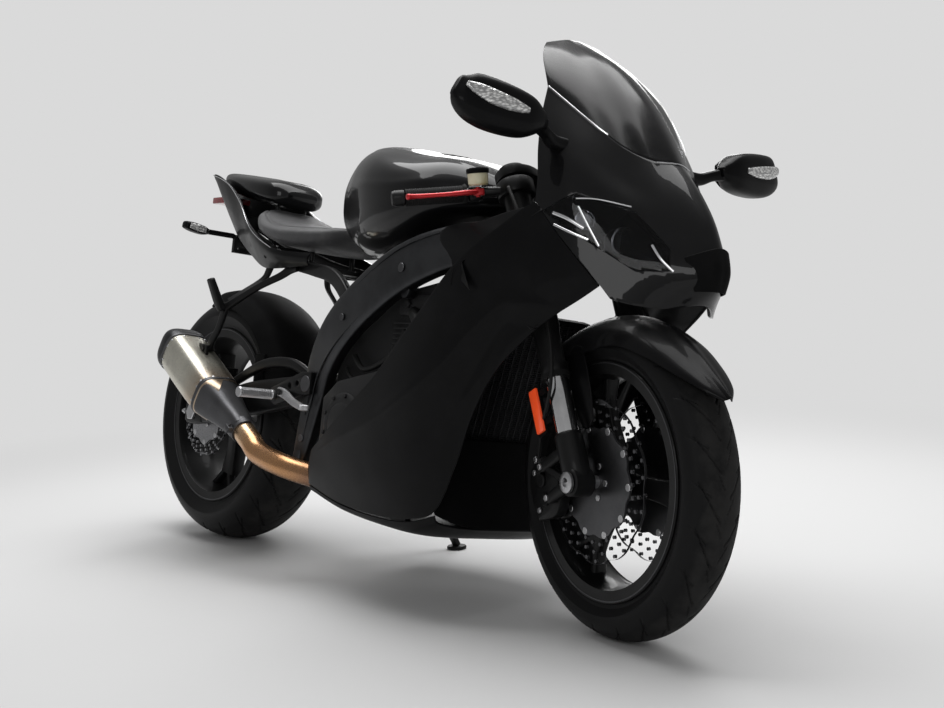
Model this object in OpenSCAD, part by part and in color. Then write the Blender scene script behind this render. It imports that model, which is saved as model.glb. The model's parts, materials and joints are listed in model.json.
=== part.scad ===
// Sport bike, built as an assembly of its real pieces.
// Design frame, in millimetres: x forward from the rear axle at the standard wheelbase, y to the rider's left,
// z up from the floor with the bike upright. The finished bike leans on its side stand.

/* [Wheels] */
// Distance between the axles; the swingarm takes up a change
wheelbase = 1425; // [1400:5:1720]
// Outer diameter of the front tyre
front_tyre_d = 600; // [596:1:606]
// Width of the front tyre
front_tyre_w = 120; // [110:1:130]
// Outer diameter of the rear tyre
rear_tyre_d = 640; // [630:1:650]
// Width of the rear tyre
rear_tyre_w = 190; // [180:1:200]
// Bead seat diameter of both rims
rim_d = 436; // [430:1:440]
// Diameter of the front brake discs
front_disc_d = 310; // [290:1:320]
// Diameter of the rear brake disc
rear_disc_d = 220; // [200:1:240]
// Diameter of both axles
axle_d = 25; // [20:1:28]

/* [Steering] */
// Steering axis, measured back from the vertical
rake = 25; // [24:0.5:26]
// Ground trail
trail = 107; // [100:1:112]
// Spacing of the two fork legs, centre to centre
fork_spacing = 210; // [204:1:216]
// Diameter of the sliding fork tubes
stanchion_d = 43; // [41:1:45]
// Diameter of the upper fork tubes
fork_tube_d = 56; // [52:1:58]
// Steering angle as parked, to the left positive
steer = -10.8; // [-14:0.2:8]

/* [Stance] */
// Lean towards the side stand
lean = 10.4; // [9:0.2:12]

/* [Body] */
// Thickness of the fairing panels
panel_t = 4; // [3:0.5:5]
// Thickness of the windscreen
screen_t = 3.5; // [3:0.5:5]
// Length of the muffler's straight body
muffler_len = 215; // [180:5:240]
// Width of the muffler
muffler_w = 112; // [100:1:125]
// Diameter of the exhaust link pipe
exhaust_pipe_d = 54; // [48:1:60]
// Distance between the bottom of the fairing and the floor
belly_z = 138; // [125:1:150]

/* [Fits] */
// Radial clearance of a turning fit
running_gap = 0.05; // [0.02:0.01:0.1]
// Gap between a piece and its seat
seat_gap = 0.3; // [0.2:0.1:0.6]

/* [Hidden] */
$fn = 48;

standard_wheelbase = 1425;
rear_x = standard_wheelbase - wheelbase;
front_x = standard_wheelbase;

// ---- vectors and lofts ----
function unit(v) = v / norm(v);
function turn_x(p, a) = [p.x, p.y * cos(a) - p.z * sin(a), p.y * sin(a) + p.z * cos(a)];
function turn_about(p, v, a) = p * cos(a) + cross(v, p) * sin(a) + v * (v * p) * (1 - cos(a));
function spline_at(a, b, c, d, t) =
    0.5 * (2 * b + (c - a) * t + (2 * a - 5 * b + 4 * c - d) * t * t + (3 * b - a - 3 * c + d) * t * t * t);
function smooth(rows, n) = let(last = len(rows) - 1) [
    for (i = [0:last - 1], k = [0:n - 1])
        spline_at(rows[max(i - 1, 0)], rows[i], rows[i + 1], rows[min(i + 2, last)], k / n),
    rows[last]];
function smooth_grid(rows, nu, nv) = [for (row = smooth(rows, nu)) smooth(row, nv)];
function super_cos(a, e) = sign(cos(a)) * pow(abs(cos(a)), 2 / e);
function super_sin(a, e) = sign(sin(a)) * pow(abs(sin(a)), 2 / e);
function points_xyz(rows) = [for (r = rows) [r[0], r[1], r[2]]];

// A closed solid through rings that all have the same number of points
module loft(rings) {
    n = len(rings[0]);
    m = len(rings);
    polyhedron(
        points = [for (ring = rings) for (p = ring) p],
        faces = concat(
            [for (j = [1:n - 2]) [0, j, j + 1]],
            [for (i = [0:m - 2], j = [0:n - 1], half = [0:1])
                let(a = i * n + j, b = i * n + (j + 1) % n, c = b + n, d = a + n) half == 0 ? [a, d, c] : [a, c, b]],
            [for (j = [1:n - 2]) let(e = (m - 1) * n) [e, e + j + 1, e + j]]));
}

// A bar along rows of [x, y, z, width across, height]; e rounds the section: 2 is oval, 6 nearly square
module beam(rows, e = 4, n = 12, steps = 3, across = [0, 1, 0]) {
    path = smooth(rows, steps);
    last = len(path) - 1;
    pts = points_xyz(path);
    loft([for (i = [0:last])
        let(t = unit(pts[min(i + 1, last)] - pts[max(i - 1, 0)]), s = unit(across - (across * t) * t), u = cross(t, s))
        [for (k = [0:n - 1]) let(a = 360 * (k + 0.5) / n)
            pts[i] + s * super_cos(a, e) * path[i][3] / 2 + u * super_sin(a, e) * path[i][4] / 2]]);
}

// A round pipe of diameter d along points [x, y, z]
module pipe(pts, d, n = 12, steps = 3, across = [0, 1, 0]) {
    beam([for (p = pts) [p.x, p.y, p.z, d, d]], 2, n, steps, across);
}

// A sheet of thickness t behind a grid of points; the outside is where cross(next row, next column) points
module sheet(grid, t) {
    n = len(grid) - 1;
    m = len(grid[0]) - 1;
    w = m + 1;
    half = (n + 1) * w;
    under = [for (i = [0:n]) for (j = [0:m])
        let(du = grid[min(i + 1, n)][j] - grid[max(i - 1, 0)][j], dv = grid[i][min(j + 1, m)] - grid[i][max(j - 1, 0)])
        grid[i][j] - t * unit(cross(du, dv))];
    polyhedron(
        points = concat([for (row = grid) for (p = row) p], under),
        faces = concat(
            [for (i = [0:n - 1], j = [0:m - 1], k = [0:3])
                let(a = i * w + j, b = a + w, c = b + 1, d = a + 1)
                [[a, d, c], [a, c, b], [half + a, half + c, half + d], [half + a, half + b, half + c]][k]],
            [for (i = [0:n - 1], k = [0:3])
                let(a = i * w, b = a + w, c = b + m, d = a + m)
                [[a, b, half + b], [a, half + b, half + a], [c, d, half + d], [c, half + d, half + c]][k]],
            [for (j = [0:m - 1], k = [0:3])
                let(a = j, d = j + 1, b = n * w + j, c = b + 1)
                [[d, a, half + a], [d, half + a, half + d], [b, c, half + c], [b, half + c, half + b]][k]]));
}

module both_sides() {
    children();
    mirror([0, 1, 0]) children();
}

// A cylinder whose axis runs across the bike, centred at y
module across_y(r, h, x, z, y = 0) {
    translate([x, y, z]) rotate([90, 0, 0]) cylinder(r = r, h = h, center = true);
}

// ---- stance: every height follows from the tyres, the lean and the steering ----
steer_axis = [-sin(rake), 0, cos(rake)];
steer_foot = [front_x + trail, 0, 0];
function crown_rise(d, w) = min(0.62 * (d - rim_d) / 2, w / 2);
front_rise = crown_rise(front_tyre_d, front_tyre_w);
rear_rise = crown_rise(rear_tyre_d, rear_tyre_w);
// Height that a tyre's axle needs when the axle's direction rises by the share s of its length
function axle_height(d, w, rise, s) =
    (d / 2 - rise) * sqrt(1 - s * s) + sqrt(rise * rise * (1 - s * s) + w * w / 4 * s * s);
function parked_dir(v) = turn_x(v, -lean);
function steered(p) = steer_foot + turn_about(p - steer_foot, steer_axis, steer);
front_axle_dir = parked_dir(turn_about([0, 1, 0], steer_axis, steer));
front_need = axle_height(front_tyre_d, front_tyre_w, front_rise, front_axle_dir.z);
front_low = parked_dir(steered([front_x, 0, 0])).z;
front_high = parked_dir(steered([front_x, 0, 1])).z;
front_axle_z = (front_need - front_low) / (front_high - front_low);
rear_axle_z = axle_height(rear_tyre_d, rear_tyre_w, rear_rise, sin(lean)) / cos(lean);
// Centre of the parked bike's box on the floor, so that the origin lies under its middle
front_tip = parked_dir(steered([front_x, 0, front_axle_z])).x
    + axle_height(front_tyre_d, front_tyre_w, front_rise, front_axle_dir.x);
box_centre_x = (front_tip + rear_x - rear_tyre_d / 2) / 2;
box_centre_y = 965.6 * sin(lean);

module parked() {
    translate([-box_centre_x, -box_centre_y, 0]) rotate([-lean, 0, 0]) children();
}
module turned() {
    parked() translate(steer_foot) rotate(a = steer, v = steer_axis) translate(-steer_foot) children();
}
module at_front_axle() { translate([front_x, 0, front_axle_z]) children(); }
module at_rear_axle() { translate([rear_x, 0, rear_axle_z]) children(); }

// ---- wheels ----
module tyre(d, w, rise, rim_w) {
    wall = 9;
    bead = rim_w / 2 - 1;
    bead_r = rim_d / 2 + 0.4;
    flange_r = rim_d / 2 + 12;
    outer = [for (a = [-90:10:90]) [d / 2 - rise * (1 - cos(a)), w / 2 * sin(a)]];
    inner = [for (a = [90:-15:-90])
        [max(d / 2 - wall - (rise - 2) * (1 - cos(a)), flange_r + 6), (w / 2 - wall) * sin(a)]];
    rotate([90, 0, 0]) rotate_extrude($fn = 96)
        polygon(concat(
            [[bead_r, -bead], [flange_r, -bead - 1]], outer,
            [[flange_r, bead + 1], [bead_r, bead], [bead_r, bead - 12]], inner, [[bead_r, -bead + 12]]));
}

module rim(rim_w, hub_w, hub_r, spoke_count, first_spoke, spoke_w) {
    seat_r = rim_d / 2;
    flange = 10;
    barrel_t = 11;
    difference() {
        union() {
            rotate([90, 0, 0]) rotate_extrude($fn = 96)
                polygon([[seat_r - barrel_t - 2, -rim_w / 2 - 7], [seat_r + flange, -rim_w / 2 - 7],
                    [seat_r + flange, -rim_w / 2 - 0.5], [seat_r, -rim_w / 2 - 0.5], [seat_r, rim_w / 2 + 0.5],
                    [seat_r + flange, rim_w / 2 + 0.5], [seat_r + flange, rim_w / 2 + 7],
                    [seat_r - barrel_t - 2, rim_w / 2 + 7], [seat_r - barrel_t - 8, 0]]);
            rotate([90, 0, 0]) cylinder(r = hub_r, h = hub_w, center = true);
            for (i = [0:spoke_count - 1]) rotate([0, first_spoke + 360 / spoke_count * i, 0])
                translate([0, 0, -(seat_r - barrel_t) / 2 - hub_r / 4])
                    cube([spoke_w, rim_w * 0.42, seat_r - barrel_t - hub_r / 2], center = true);
        }
        rotate([90, 0, 0]) cylinder(r = axle_d / 2 + running_gap, h = hub_w + 2, center = true);
    }
}

front_rim_w = 89;
front_hub_w = 120;
front_hub_r = 34;
front_spoke_angle = 33;
rear_rim_w = 152;
rear_hub_w = 210;
rear_hub_r = 48;
rear_spoke_angle = 10;
disc_t = 5;
front_disc_y = front_hub_w / 2 + disc_t / 2 + seat_gap;

module front_tyre() {
    color([0.06, 0.06, 0.06]) turned() at_front_axle() tyre(front_tyre_d, front_tyre_w, front_rise, front_rim_w);
}
module front_rim() {
    color([0.08, 0.08, 0.08]) turned() at_front_axle()
        rim(front_rim_w, front_hub_w, front_hub_r, 3, front_spoke_angle, 42);
}
module disc(d, inner_r, t, bore_r) {
    rotate([90, 0, 0]) difference() {
        cylinder(r = d / 2, h = t, center = true);
        cylinder(r = bore_r, h = t + 2, center = true);
        for (i = [0:9]) rotate(36 * i) translate([inner_r, 0, 0]) cylinder(r = 13, h = t + 2, center = true);
    }
}
module front_discs() {
    color([0.5, 0.5, 0.5]) turned() at_front_axle() both_sides() translate([0, front_disc_y, 0])
        disc(front_disc_d, 82, disc_t, axle_d / 2 + 6);
}
module rear_tyre() {
    color([0.06, 0.06, 0.06]) parked() at_rear_axle() tyre(rear_tyre_d, rear_tyre_w, rear_rise, rear_rim_w);
}
module rear_rim() {
    color([0.08, 0.08, 0.08]) parked() at_rear_axle()
        rim(rear_rim_w, rear_hub_w, rear_hub_r, 3, rear_spoke_angle, 46);
}
module rear_disc() {
    color([0.5, 0.5, 0.5]) parked() at_rear_axle()
        translate([0, -rear_hub_w / 2 - disc_t / 2 - seat_gap, 0]) disc(rear_disc_d, 68, disc_t, axle_d / 2 + 6);
}
sprocket_r = 100;
sprocket_t = 7;
sprocket_y = rear_hub_w / 2 + sprocket_t / 2 + seat_gap;
module rear_sprocket() {
    color([0.25, 0.25, 0.25]) parked() at_rear_axle() translate([0, sprocket_y, 0]) rotate([90, 0, 0]) difference() {
        cylinder(r = sprocket_r, h = sprocket_t, center = true);
        cylinder(r = axle_d / 2 + 6, h = sprocket_t + 2, center = true);
        for (i = [0:5]) rotate(60 * i) translate([66, 0, 0]) cylinder(r = 16, h = sprocket_t + 2, center = true);
    }
}

// ---- steering body: local frame with z up the steering axis and the front axle at its origin ----
steer_offset = trail * cos(rake) - front_axle_z * sin(rake);
leg_y = fork_spacing / 2;
module at_fork() { turned() at_front_axle() rotate([0, -rake, 0]) children(); }
stanchion_from = 96;
tube_from = 215;
tube_to = 668;
lower_clamp_z = [432, 466];
upper_clamp_z = [640, 660];
stem_r = 15;

module front_axle() {
    color([0.6, 0.6, 0.6]) turned() at_front_axle() {
        across_y(axle_d / 2, fork_spacing + 46, 0, 0);
        both_sides() across_y(axle_d / 2 + 5, 8, 0, 0, leg_y + 27);
    }
}
caliper_reach = front_disc_d / 2 - 43;
module fork_feet() {
    color([0.1, 0.1, 0.1]) at_fork() both_sides() translate([0, leg_y, 0]) difference() {
        union() {
            across_y(27, 44, 0, 0);
            cylinder(r = 21.5, h = 40);
            translate([0, 0, 34]) cylinder(r = 27, h = stanchion_from - 34);
            for (z = [-8, 56]) translate([-caliper_reach, -9, z]) cube([caliper_reach - 12, 18, 20]);
        }
        across_y(axle_d / 2 + seat_gap, 60, 0, 0);
        translate([0, 0, stanchion_from - 20]) cylinder(r = stanchion_d / 2 + seat_gap, h = 40);
    }
}
module fork_stanchions() {
    color([0.75, 0.75, 0.75]) at_fork() both_sides() translate([0, leg_y, 0])
        translate([0, 0, stanchion_from - 20 + seat_gap]) cylinder(r = stanchion_d / 2, h = 400);
}
module fork_tubes() {
    color([0.05, 0.05, 0.05]) at_fork() both_sides() translate([0, leg_y, 0]) difference() {
        union() {
            translate([0, 0, tube_from]) cylinder(r = fork_tube_d / 2 - 2, h = 90);
            translate([0, 0, tube_from + 90]) cylinder(r = fork_tube_d / 2, h = tube_to - tube_from - 90);
        }
        translate([0, 0, tube_from - 1]) cylinder(r = stanchion_d / 2 + seat_gap, h = 300);
    }
}
module clamp_plate(z0, z1, leg_r, stem_boss_r) {
    translate([0, 0, z0]) difference() {
        linear_extrude(z1 - z0) union() {
            for (s = [-1, 1]) polygon([[steer_offset, -s * 26], [steer_offset - 18, s * 20], [-30, s * leg_y],
                [34, s * leg_y], [steer_offset + 40, s * 24]]);
            for (s = [-1, 1]) translate([0, s * leg_y]) circle(r = leg_r);
            translate([steer_offset, 0]) circle(r = stem_boss_r);
        }
        for (s = [-1, 1]) translate([0, s * leg_y, -1]) cylinder(r = fork_tube_d / 2 + seat_gap, h = z1 - z0 + 2);
    }
}
front_stand_bore_r = 7.5;
module triple_clamps() {
    color([0.08, 0.08, 0.08]) at_fork() difference() {
        clamps();
        translate([steer_offset, 0, lower_clamp_z[0] - 1]) cylinder(r = front_stand_bore_r, h = 41);
    }
}
module clamps() {
    clamp_plate(lower_clamp_z[0], lower_clamp_z[1], 38, 30);
    clamp_plate(upper_clamp_z[0], upper_clamp_z[1], 37, 30);
    translate([steer_offset, 0, lower_clamp_z[1] - 1]) cylinder(r = stem_r, h = upper_clamp_z[0] - lower_clamp_z[1] + 2);
}
bar_z = 618;
bar_sweep = 20;
bar_drop = 7;
module at_bar() { translate([0, leg_y, bar_z]) rotate([0, rake, 0]) rotate([-bar_drop, 0, 0]) rotate([0, 0, bar_sweep]) children(); }
bar_len = 225;
bar_r = 11;
module handlebars() {
    color([0.08, 0.08, 0.08]) at_fork() both_sides() {
        translate([0, leg_y, bar_z - 16]) difference() {
            cylinder(r = 38, h = 32);
            translate([0, 0, -1]) cylinder(r = fork_tube_d / 2 + seat_gap, h = 34);
        }
        difference() {
            at_bar() translate([0, 30, 0]) rotate([-90, 0, 0]) cylinder(r = bar_r, h = bar_len - 30);
            translate([0, leg_y, bar_z - 17]) cylinder(r = 34, h = 34);
        }
        at_bar() translate([0, bar_len + seat_gap, 0]) rotate([-90, 0, 0]) cylinder(r = 16, h = 28);
        at_bar() translate([0, bar_len - 2, 0]) rotate([-90, 0, 0]) cylinder(r = bar_r - 2, h = 6);
    }
}
module grips() {
    color([0.03, 0.03, 0.03]) at_fork() both_sides() at_bar() translate([0, 102, 0]) rotate([-90, 0, 0]) difference() {
        cylinder(r = 17, h = bar_len - 102);
        translate([0, 0, -1]) cylinder(r = bar_r + seat_gap, h = bar_len);
    }
}
module hand_levers() {
    color([0.6, 0.05, 0.04]) at_fork() both_sides() at_bar() difference() {
        union() {
            translate([0, 74, 0]) rotate([-90, 0, 0]) cylinder(r = 17, h = 22);
            translate([4, 76, -9]) cube([50, 18, 16]);
            beam([[48, 82, 0, 14, 12], [56, 110, 0, 14, 11], [58, 150, -1, 13, 10], [58, 190, -1, 12, 10],
                [64, 226, -1, 12, 12]], 4, 8, 2, [1, 0, 0]);
        }
        translate([0, 60, 0]) rotate([-90, 0, 0]) cylinder(r = bar_r + seat_gap, h = 60);
    }
    color([0.7, 0.6, 0.3]) at_fork() mirror([0, 1, 0]) at_bar() translate([34, 62, 7 + seat_gap]) {
        translate([0, 20, 0]) cylinder(r = 9, h = 14);
        translate([0, 20, 14]) cylinder(r = 22, h = 34);
    }
}
fender_r = front_tyre_d / 2 + 9;
fender_half = leg_y - fork_tube_d / 2 - 4;
module front_calipers() {
    color([0.12, 0.12, 0.12]) at_fork() both_sides() difference() {
        translate([-caliper_reach - 64, front_disc_y - 28, -22]) cube([98, leg_y - 9 - seat_gap - front_disc_y + 28, 98]);
        across_y(front_disc_d / 2 + 6, disc_t + 11, 0, 0, front_disc_y);
        across_y(caliper_reach - 14, 90, 0, 0, front_disc_y);
    }
}
module front_fender() {
    color([0.05, 0.05, 0.05]) turned() at_front_axle() {
        grid = smooth_grid([for (a = [0:5]) let(
            t = [-10, 12, 34, 56, 78, 92][a], wide = [0.274, 0.795, 0.973, 1, 1, 0.849][a] * fender_half, up = [26, 8, 2, 0, 0, 0][a],
            drop = [6, 26, 44, 60, 44, 20][a], r = fender_r + up)
            [for (k = [-3:3]) let(q = abs(k) / 3, y = sign(k) * wide * (q < 0.9 ? q * 1.1 : 1),
                rr = r - drop * pow(q, 3) - 5 * q)
                [rr * sin(48 - t), y, rr * cos(48 - t)]]], 3, 2);
        sheet(grid, 3);
        both_sides() difference() {
            translate([0, 0, 0]) rotate([0, -rake, 0]) translate([-26, fender_half - 2, 110]) cube([80, 8.2, 130]);
            rotate([0, -rake, 0]) translate([0, leg_y, 90]) cylinder(r = fork_tube_d / 2 - 2 + seat_gap, h = 200);
        }
    }
}

// ---- chassis ----
pivot = [565, 0, 425];
head_z = [470, 636];
module spar() {
    beam([[1150, 22, 784, 40, 74], [1068, 76, 750, 40, 76], [990, 134, 736, 38, 94], [880, 168, 692, 38, 104],
        [760, 176, 622, 38, 104], [660, 170, 550, 36, 104], [600, 160, 480, 36, 92], [572, 152, 410, 34, 78],
        [552, 150, 330, 34, 64], [534, 150, 246, 34, 46]], 5, 12, 2);
}
module frame() {
    color([0.3, 0.3, 0.31]) parked() difference() {
        union() {
            both_sides() spar();
            at_front_axle() rotate([0, -rake, 0]) translate([steer_offset, 0, head_z[0]])
                cylinder(r = 33, h = head_z[1] - head_z[0]);
            across_y(13, 366, pivot.x, pivot.z);
            across_y(14, 320, 628, 548);
            across_y(14, 250, 980, 775);
            translate([980, 0, 770]) cylinder(r = 8, h = 60);
            both_sides() across_y(15, 24, 890, 642, 148 + seat_gap);
            stand_lug();
        }
        across_y(7 + seat_gap, 400, 652, 592);
        at_front_axle() rotate([0, -rake, 0]) translate([steer_offset, 0, head_z[0] - 1])
            cylinder(r = stem_r + running_gap, h = head_z[1] - head_z[0] + 2);
        at_front_axle() rotate([0, -rake, 0]) translate([steer_offset, 0, head_z[0] - 60]) cylinder(r = 60, h = 60);
        at_front_axle() rotate([0, -rake, 0]) translate([steer_offset, 0, head_z[1]]) cylinder(r = 60, h = 60);
    }
}
plate_hole_r = 3.3;
module subframe() {
    color([0.1, 0.1, 0.1]) parked() {
        both_sides() beam([[655, 134, 590, 20, 32], [600, 124, 642, 20, 34], [520, 108, 682, 20, 34],
            [420, 96, 700, 20, 32], [250, 76, 728, 18, 28], [60, 46, 790, 14, 24], [-78, 29, 840, 12, 18]], 5, 8, 2);
        both_sides() {
            across_y(7, 30, 652, 592, 148);
            across_y(6, 60, 250, 730, 106);
            across_y(6, 24, 348, 706, 106);
            across_y(6, 24, 200, 722, 84);
        }
        translate([330, -86, 704]) cube([30, 172, 12]);
        translate([115, -56, 760]) cube([28, 112, 10]);
        for (y = [-1, 1]) {
            translate([seat_pin[0], y * seat_pin[1], 710]) cylinder(r = 6, h = seat_pin[2] - 710);
            translate([pillion_pin[0], y * pillion_pin[1], 765]) cylinder(r = 6, h = pillion_pin[2] - 765);
        }
        translate([-78, -24, 788]) cube([12, 48, 72]);
        difference() {
            translate([-78, -45, 756]) cube([12, 90, 48]);
            for (y = [-30, 30]) translate([-80, y, 768]) rotate([0, 90, 0]) cylinder(r = plate_hole_r, h = 16);
        }
    }
}
front_sprocket = [635, 430];
function arc(c, r, from, to) = [for (k = [0:24]) let(a = from + (to - from) * k / 24) c + r * [cos(a), sin(a)]];
function chain_line(grow) = let(a = [rear_x, rear_axle_z], b = front_sprocket, ra = sprocket_r + 6 + grow, rb = 36 + grow,
    slope = atan2(b.y - a.y, b.x - a.x), spread = acos((ra - rb) / norm(b - a)))
    concat(arc(a, ra, slope + spread, slope + 360 - spread), arc(b, rb, slope - spread, slope + spread));
chain_guide = let(up = atan2(front_sprocket.y - rear_axle_z, front_sprocket.x - rear_x)
        + acos((sprocket_r - 30) / norm(front_sprocket - [rear_x, rear_axle_z])), n = [cos(up), sin(up)],
    from = [rear_x, rear_axle_z] + (sprocket_r + 6) * n, to = front_sprocket + 36 * n)
    from + (to - from) * 0.72 - (10 + seat_gap) * n;
stand_bobbin_r = 4;
hugger_tab = [rear_x + 215, rear_axle_z + 65.6];
function arm_x(share) = rear_x + (pivot.x - rear_x) * share;
module arm() {
    beam([[pivot.x, 112, pivot.z, 30, 60], [490, 113, 416, 30, 62], [arm_x(0.672), 124, 396, 32, 76],
        [arm_x(0.442), 136, 372, 32, 84], [arm_x(0.195), 136, 342, 32, 70], [rear_x, 136, rear_axle_z, 32, 60],
        [rear_x - 34, 136, rear_axle_z - 4, 32, 48]], 5, 12, 2);
}
module swingarm() {
    color([0.09, 0.09, 0.09]) parked() difference() {
        union() {
            both_sides() arm();
            translate([470, -112, 384]) cube([60, 224, 62]);
            across_y(26, 252, pivot.x, pivot.z);
            across_y(10, 24, chain_guide.x, chain_guide.y, 112);
            across_y(6, 17, hugger_tab.x + 21, hugger_tab.y + 10, -113);
            both_sides() across_y(18, 18, rear_x, rear_axle_z, 126.5);
        }
        across_y(13 + seat_gap, 330, pivot.x, pivot.z);
        across_y(axle_d / 2 + seat_gap, 330, rear_x, rear_axle_z);
        both_sides() across_y(stand_bobbin_r, 40, rear_x + 62, rear_axle_z + 6, 134 + 20);
    }
}
module rear_axle() {
    color([0.6, 0.6, 0.6]) parked() at_rear_axle() {
        across_y(axle_d / 2, 318, 0, 0);
        both_sides() across_y(20, 8, 0, 0, 152 + seat_gap + 4);
    }
}
module shock_absorber() {
    color([0.6, 0.5, 0.15]) parked() difference() {
        union() {
            translate([500, 0, 446 + seat_gap]) cylinder(r = 16, h = 20);
            translate([500, 0, 456]) rotate([0, 54.3, 0]) {
                cylinder(r = 26, h = 112);
                cylinder(r = 15, h = 168);
            }
        }
        across_y(14 + seat_gap, 100, 628, 548);
        translate([400, -60, 380]) cube([200, 120, 66 + seat_gap]);
    }
}
module engine() {
    color([0.12, 0.12, 0.12]) parked() {
        difference() {
            union() {
                rotate([90, 0, 0]) translate([0, 0, -136]) linear_extrude(272)
                    polygon([[612, 300], [680, 240], [760, 240], [800, 205], [900, 205], [985, 240], [1004, 300],
                        [1004, 600], [960, 668], [800, 640], [690, 560], [612, 470]]);
                rotate([90, 0, 0]) translate([0, 0, -192]) linear_extrude(384)
                    polygon([[650, 300], [720, 245], [860, 225], [950, 260], [960, 420], [850, 470], [700, 440], [650, 400]]);
                both_sides() across_y(6, 40, 760, 300, 212);
                both_sides() across_y(6, 48, 900, 385, 216);
                for (y = [-70, 70]) translate([850, y, 140]) cylinder(r = 6, h = 80);
            }
            translate([560, 92, 355]) cube([140, 110, 150]);
        }
    }
}
module radiator() {
    color([0.1, 0.1, 0.1]) parked() {
        translate([1062, 0, 470]) rotate([0, 14, 0]) translate([-14, -175, -140]) cube([28, 350, 290]);
        both_sides() translate([1004 + seat_gap, 90, 440]) rotate([0, 90, 0]) cylinder(r = 14, h = 60);
    }
}
module exhaust_pipe() {
    color([0.55, 0.35, 0.2]) parked() {
        pipe([[705, -104, 210], [630, -150, 217], [540, -199, 233], muffler_from - muffler_dir * 100,
            muffler_from - muffler_dir * 50, muffler_from], exhaust_pipe_d, 16, 3);
        translate([690, -116, 212]) cube([26, 24, 28 - seat_gap]);
    }
}
muffler_dir = [-0.875, 0, 0.484];
muffler_from = [345, -203, 300];
module muffler() {
    color([0.6, 0.58, 0.52]) parked() beam([for (k = [[2, 58, 58], [30, 62, 62], [110, 92, 88], [150, muffler_w, 104],
        [150 + muffler_len * 0.5, muffler_w + 2, 108], [150 + muffler_len, muffler_w, 106], [186 + muffler_len, 92, 88]])
        let(p = muffler_from + muffler_dir * k[0]) [p.x, p.y - 11 * max(0, min((k[0] - 30) / 120, 1)), p.z, k[1], k[2]]], 3.4, 20, 2);
    color([0.3, 0.3, 0.3]) parked() {
        translate([112, -212, 455]) cube([32, 14, 44]);
        across_y(6, 28, 128, 488, -196);
    }
}
module fuel_tank() {
    color([0.05, 0.05, 0.05]) parked() difference() {
        tank_shape();
        translate([800, 0, 958]) rotate([0, 6, 0]) translate([0, 0, -seat_gap]) cylinder(r = 42 + seat_gap, h = 40);
        translate([980, 0, 700]) cylinder(r = 8 + seat_gap, h = 135);
    }
}
module tank_shape() {
    loft([for (r = smooth([
        [1040, 60, 850, 30, 20], [1000, 120, 846, 66, 32], [930, 176, 842, 100, 50], [830, 196, 836, 124, 90],
        [720, 186, 842, 140, 120], [620, 150, 850, 142, 125], [545, 112, 858, 116, 110], [505, 90, 858, 70, 80],
        [488, 60, 850, 30, 50]], 3))
        [for (k = [0:23]) let(a = 15 * k + 7.5, cy = super_cos(a, 2.7), sz = super_sin(a, 2.7))
            [r[0], cy * r[1], r[2] + sz * (sz > 0 ? r[3] : r[4])]]]);
}
module fuel_cap() {
    color([0.1, 0.1, 0.1]) parked() translate([800, 0, 958]) rotate([0, 6, 0]) cylinder(r = 42, h = 9);
}

module seat_pad(rows, hole) {
    difference() {
        loft([for (r = smooth(rows, 3)) [for (k = [0:17]) let(a = 20 * k + 10)
            [r[0], super_cos(a, 3) * r[1], (r[2] + r[3]) / 2 + super_sin(a, 3) * (r[2] - r[3]) / 2]]]);
        for (y = [-1, 1]) translate([hole[0], y * hole[1], 0]) cylinder(r = 6 + seat_gap, h = hole[2] + seat_gap);
    }
}
seat_pin = [345, 60, 775];
pillion_pin = [128, 40, 905];
module rider_seat() {
    color([0.14, 0.14, 0.14]) parked() seat_pad([[462, 50, 806, 776], [440, 100, 807, 752], [380, 136, 808, 746],
        [300, 146, 812, 754], [220, 138, 826, 776], [165, 116, 850, 802], [142, 90, 862, 826]], seat_pin);
}
module pillion_seat() {
    color([0.05, 0.05, 0.05]) parked() seat_pad([[180, 44, 912, 888], [150, 78, 938, 870], [60, 84, 952, 884],
        [-60, 68, 968, 908], [-150, 42, 978, 930], [-184, 22, 972, 946]], pillion_pin);
}
module tail_cowl() {
    left = [
        [[430, 122, 706], [440, 126, 736]], [[300, 122, 700], [300, 150, 748]], [[180, 96, 708], [150, 132, 812]],
        [[80, 78, 745], [20, 104, 902]], [[-10, 60, 785], [-100, 84, 952]], [[-80, 38, 820], [-196, 56, 972]]];
    rows = concat(left, [[[-120, 0, 845], [-262, 0, 966]]],
        [for (i = [5:-1:0]) [for (p = left[i]) [p.x, -p.y, p.z]]]);
    color([0.05, 0.05, 0.05]) parked() difference() {
        sheet(smooth_grid([for (r = rows) [for (k = [0:3])
            let(p = r[0] + (r[1] - r[0]) * k / 3) [p.x, p.y * (1 + 0.06 * sin(60 * k)), p.z]]], 2, 2), panel_t);
        across_y(6 + seat_gap, 340, 250, 730);
        translate([-400, -34 - seat_gap, 896 - seat_gap]) cube([250, 68 + 2 * seat_gap, 18 + 2 * seat_gap]);
    }
}
module rear_lights() {
    color([0.4, 0.02, 0.02]) parked() {
        translate([-230, -34, 896]) cube([90, 68, 18]);
        both_sides() {
            across_y(7, 90, -72, 800, 45 + seat_gap + 45);
            beam([[-72, 130, 800, 20, 16], [-70, 160, 802, 34, 24], [-66, 196, 808, 26, 20]], 4, 10, 2, [1, 0, 0]);
        }
    }
}
nose_right = [
    [[1326, -214, 788], [1325, -213, 850], [1312, -208, 910], [1298, -195, 975], [1282, -172, 1040]],
    [[1377, -198, 732], [1392, -190, 810], [1385, -180, 870], [1375, -160, 920], [1360, -130, 975]],
    [[1450, -153, 646], [1462, -135, 735], [1458, -120, 810], [1440, -100, 865], [1420, -85, 925]],
    [[1530, -80, 625], [1548, -75, 700], [1528, -66, 775], [1502, -56, 840], [1462, -45, 905]]];
nose_tip = [[1575, 0, 640], [1612, 0, 692], [1584, 0, 780], [1535, 0, 850], [1478, 0, 908]];
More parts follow.
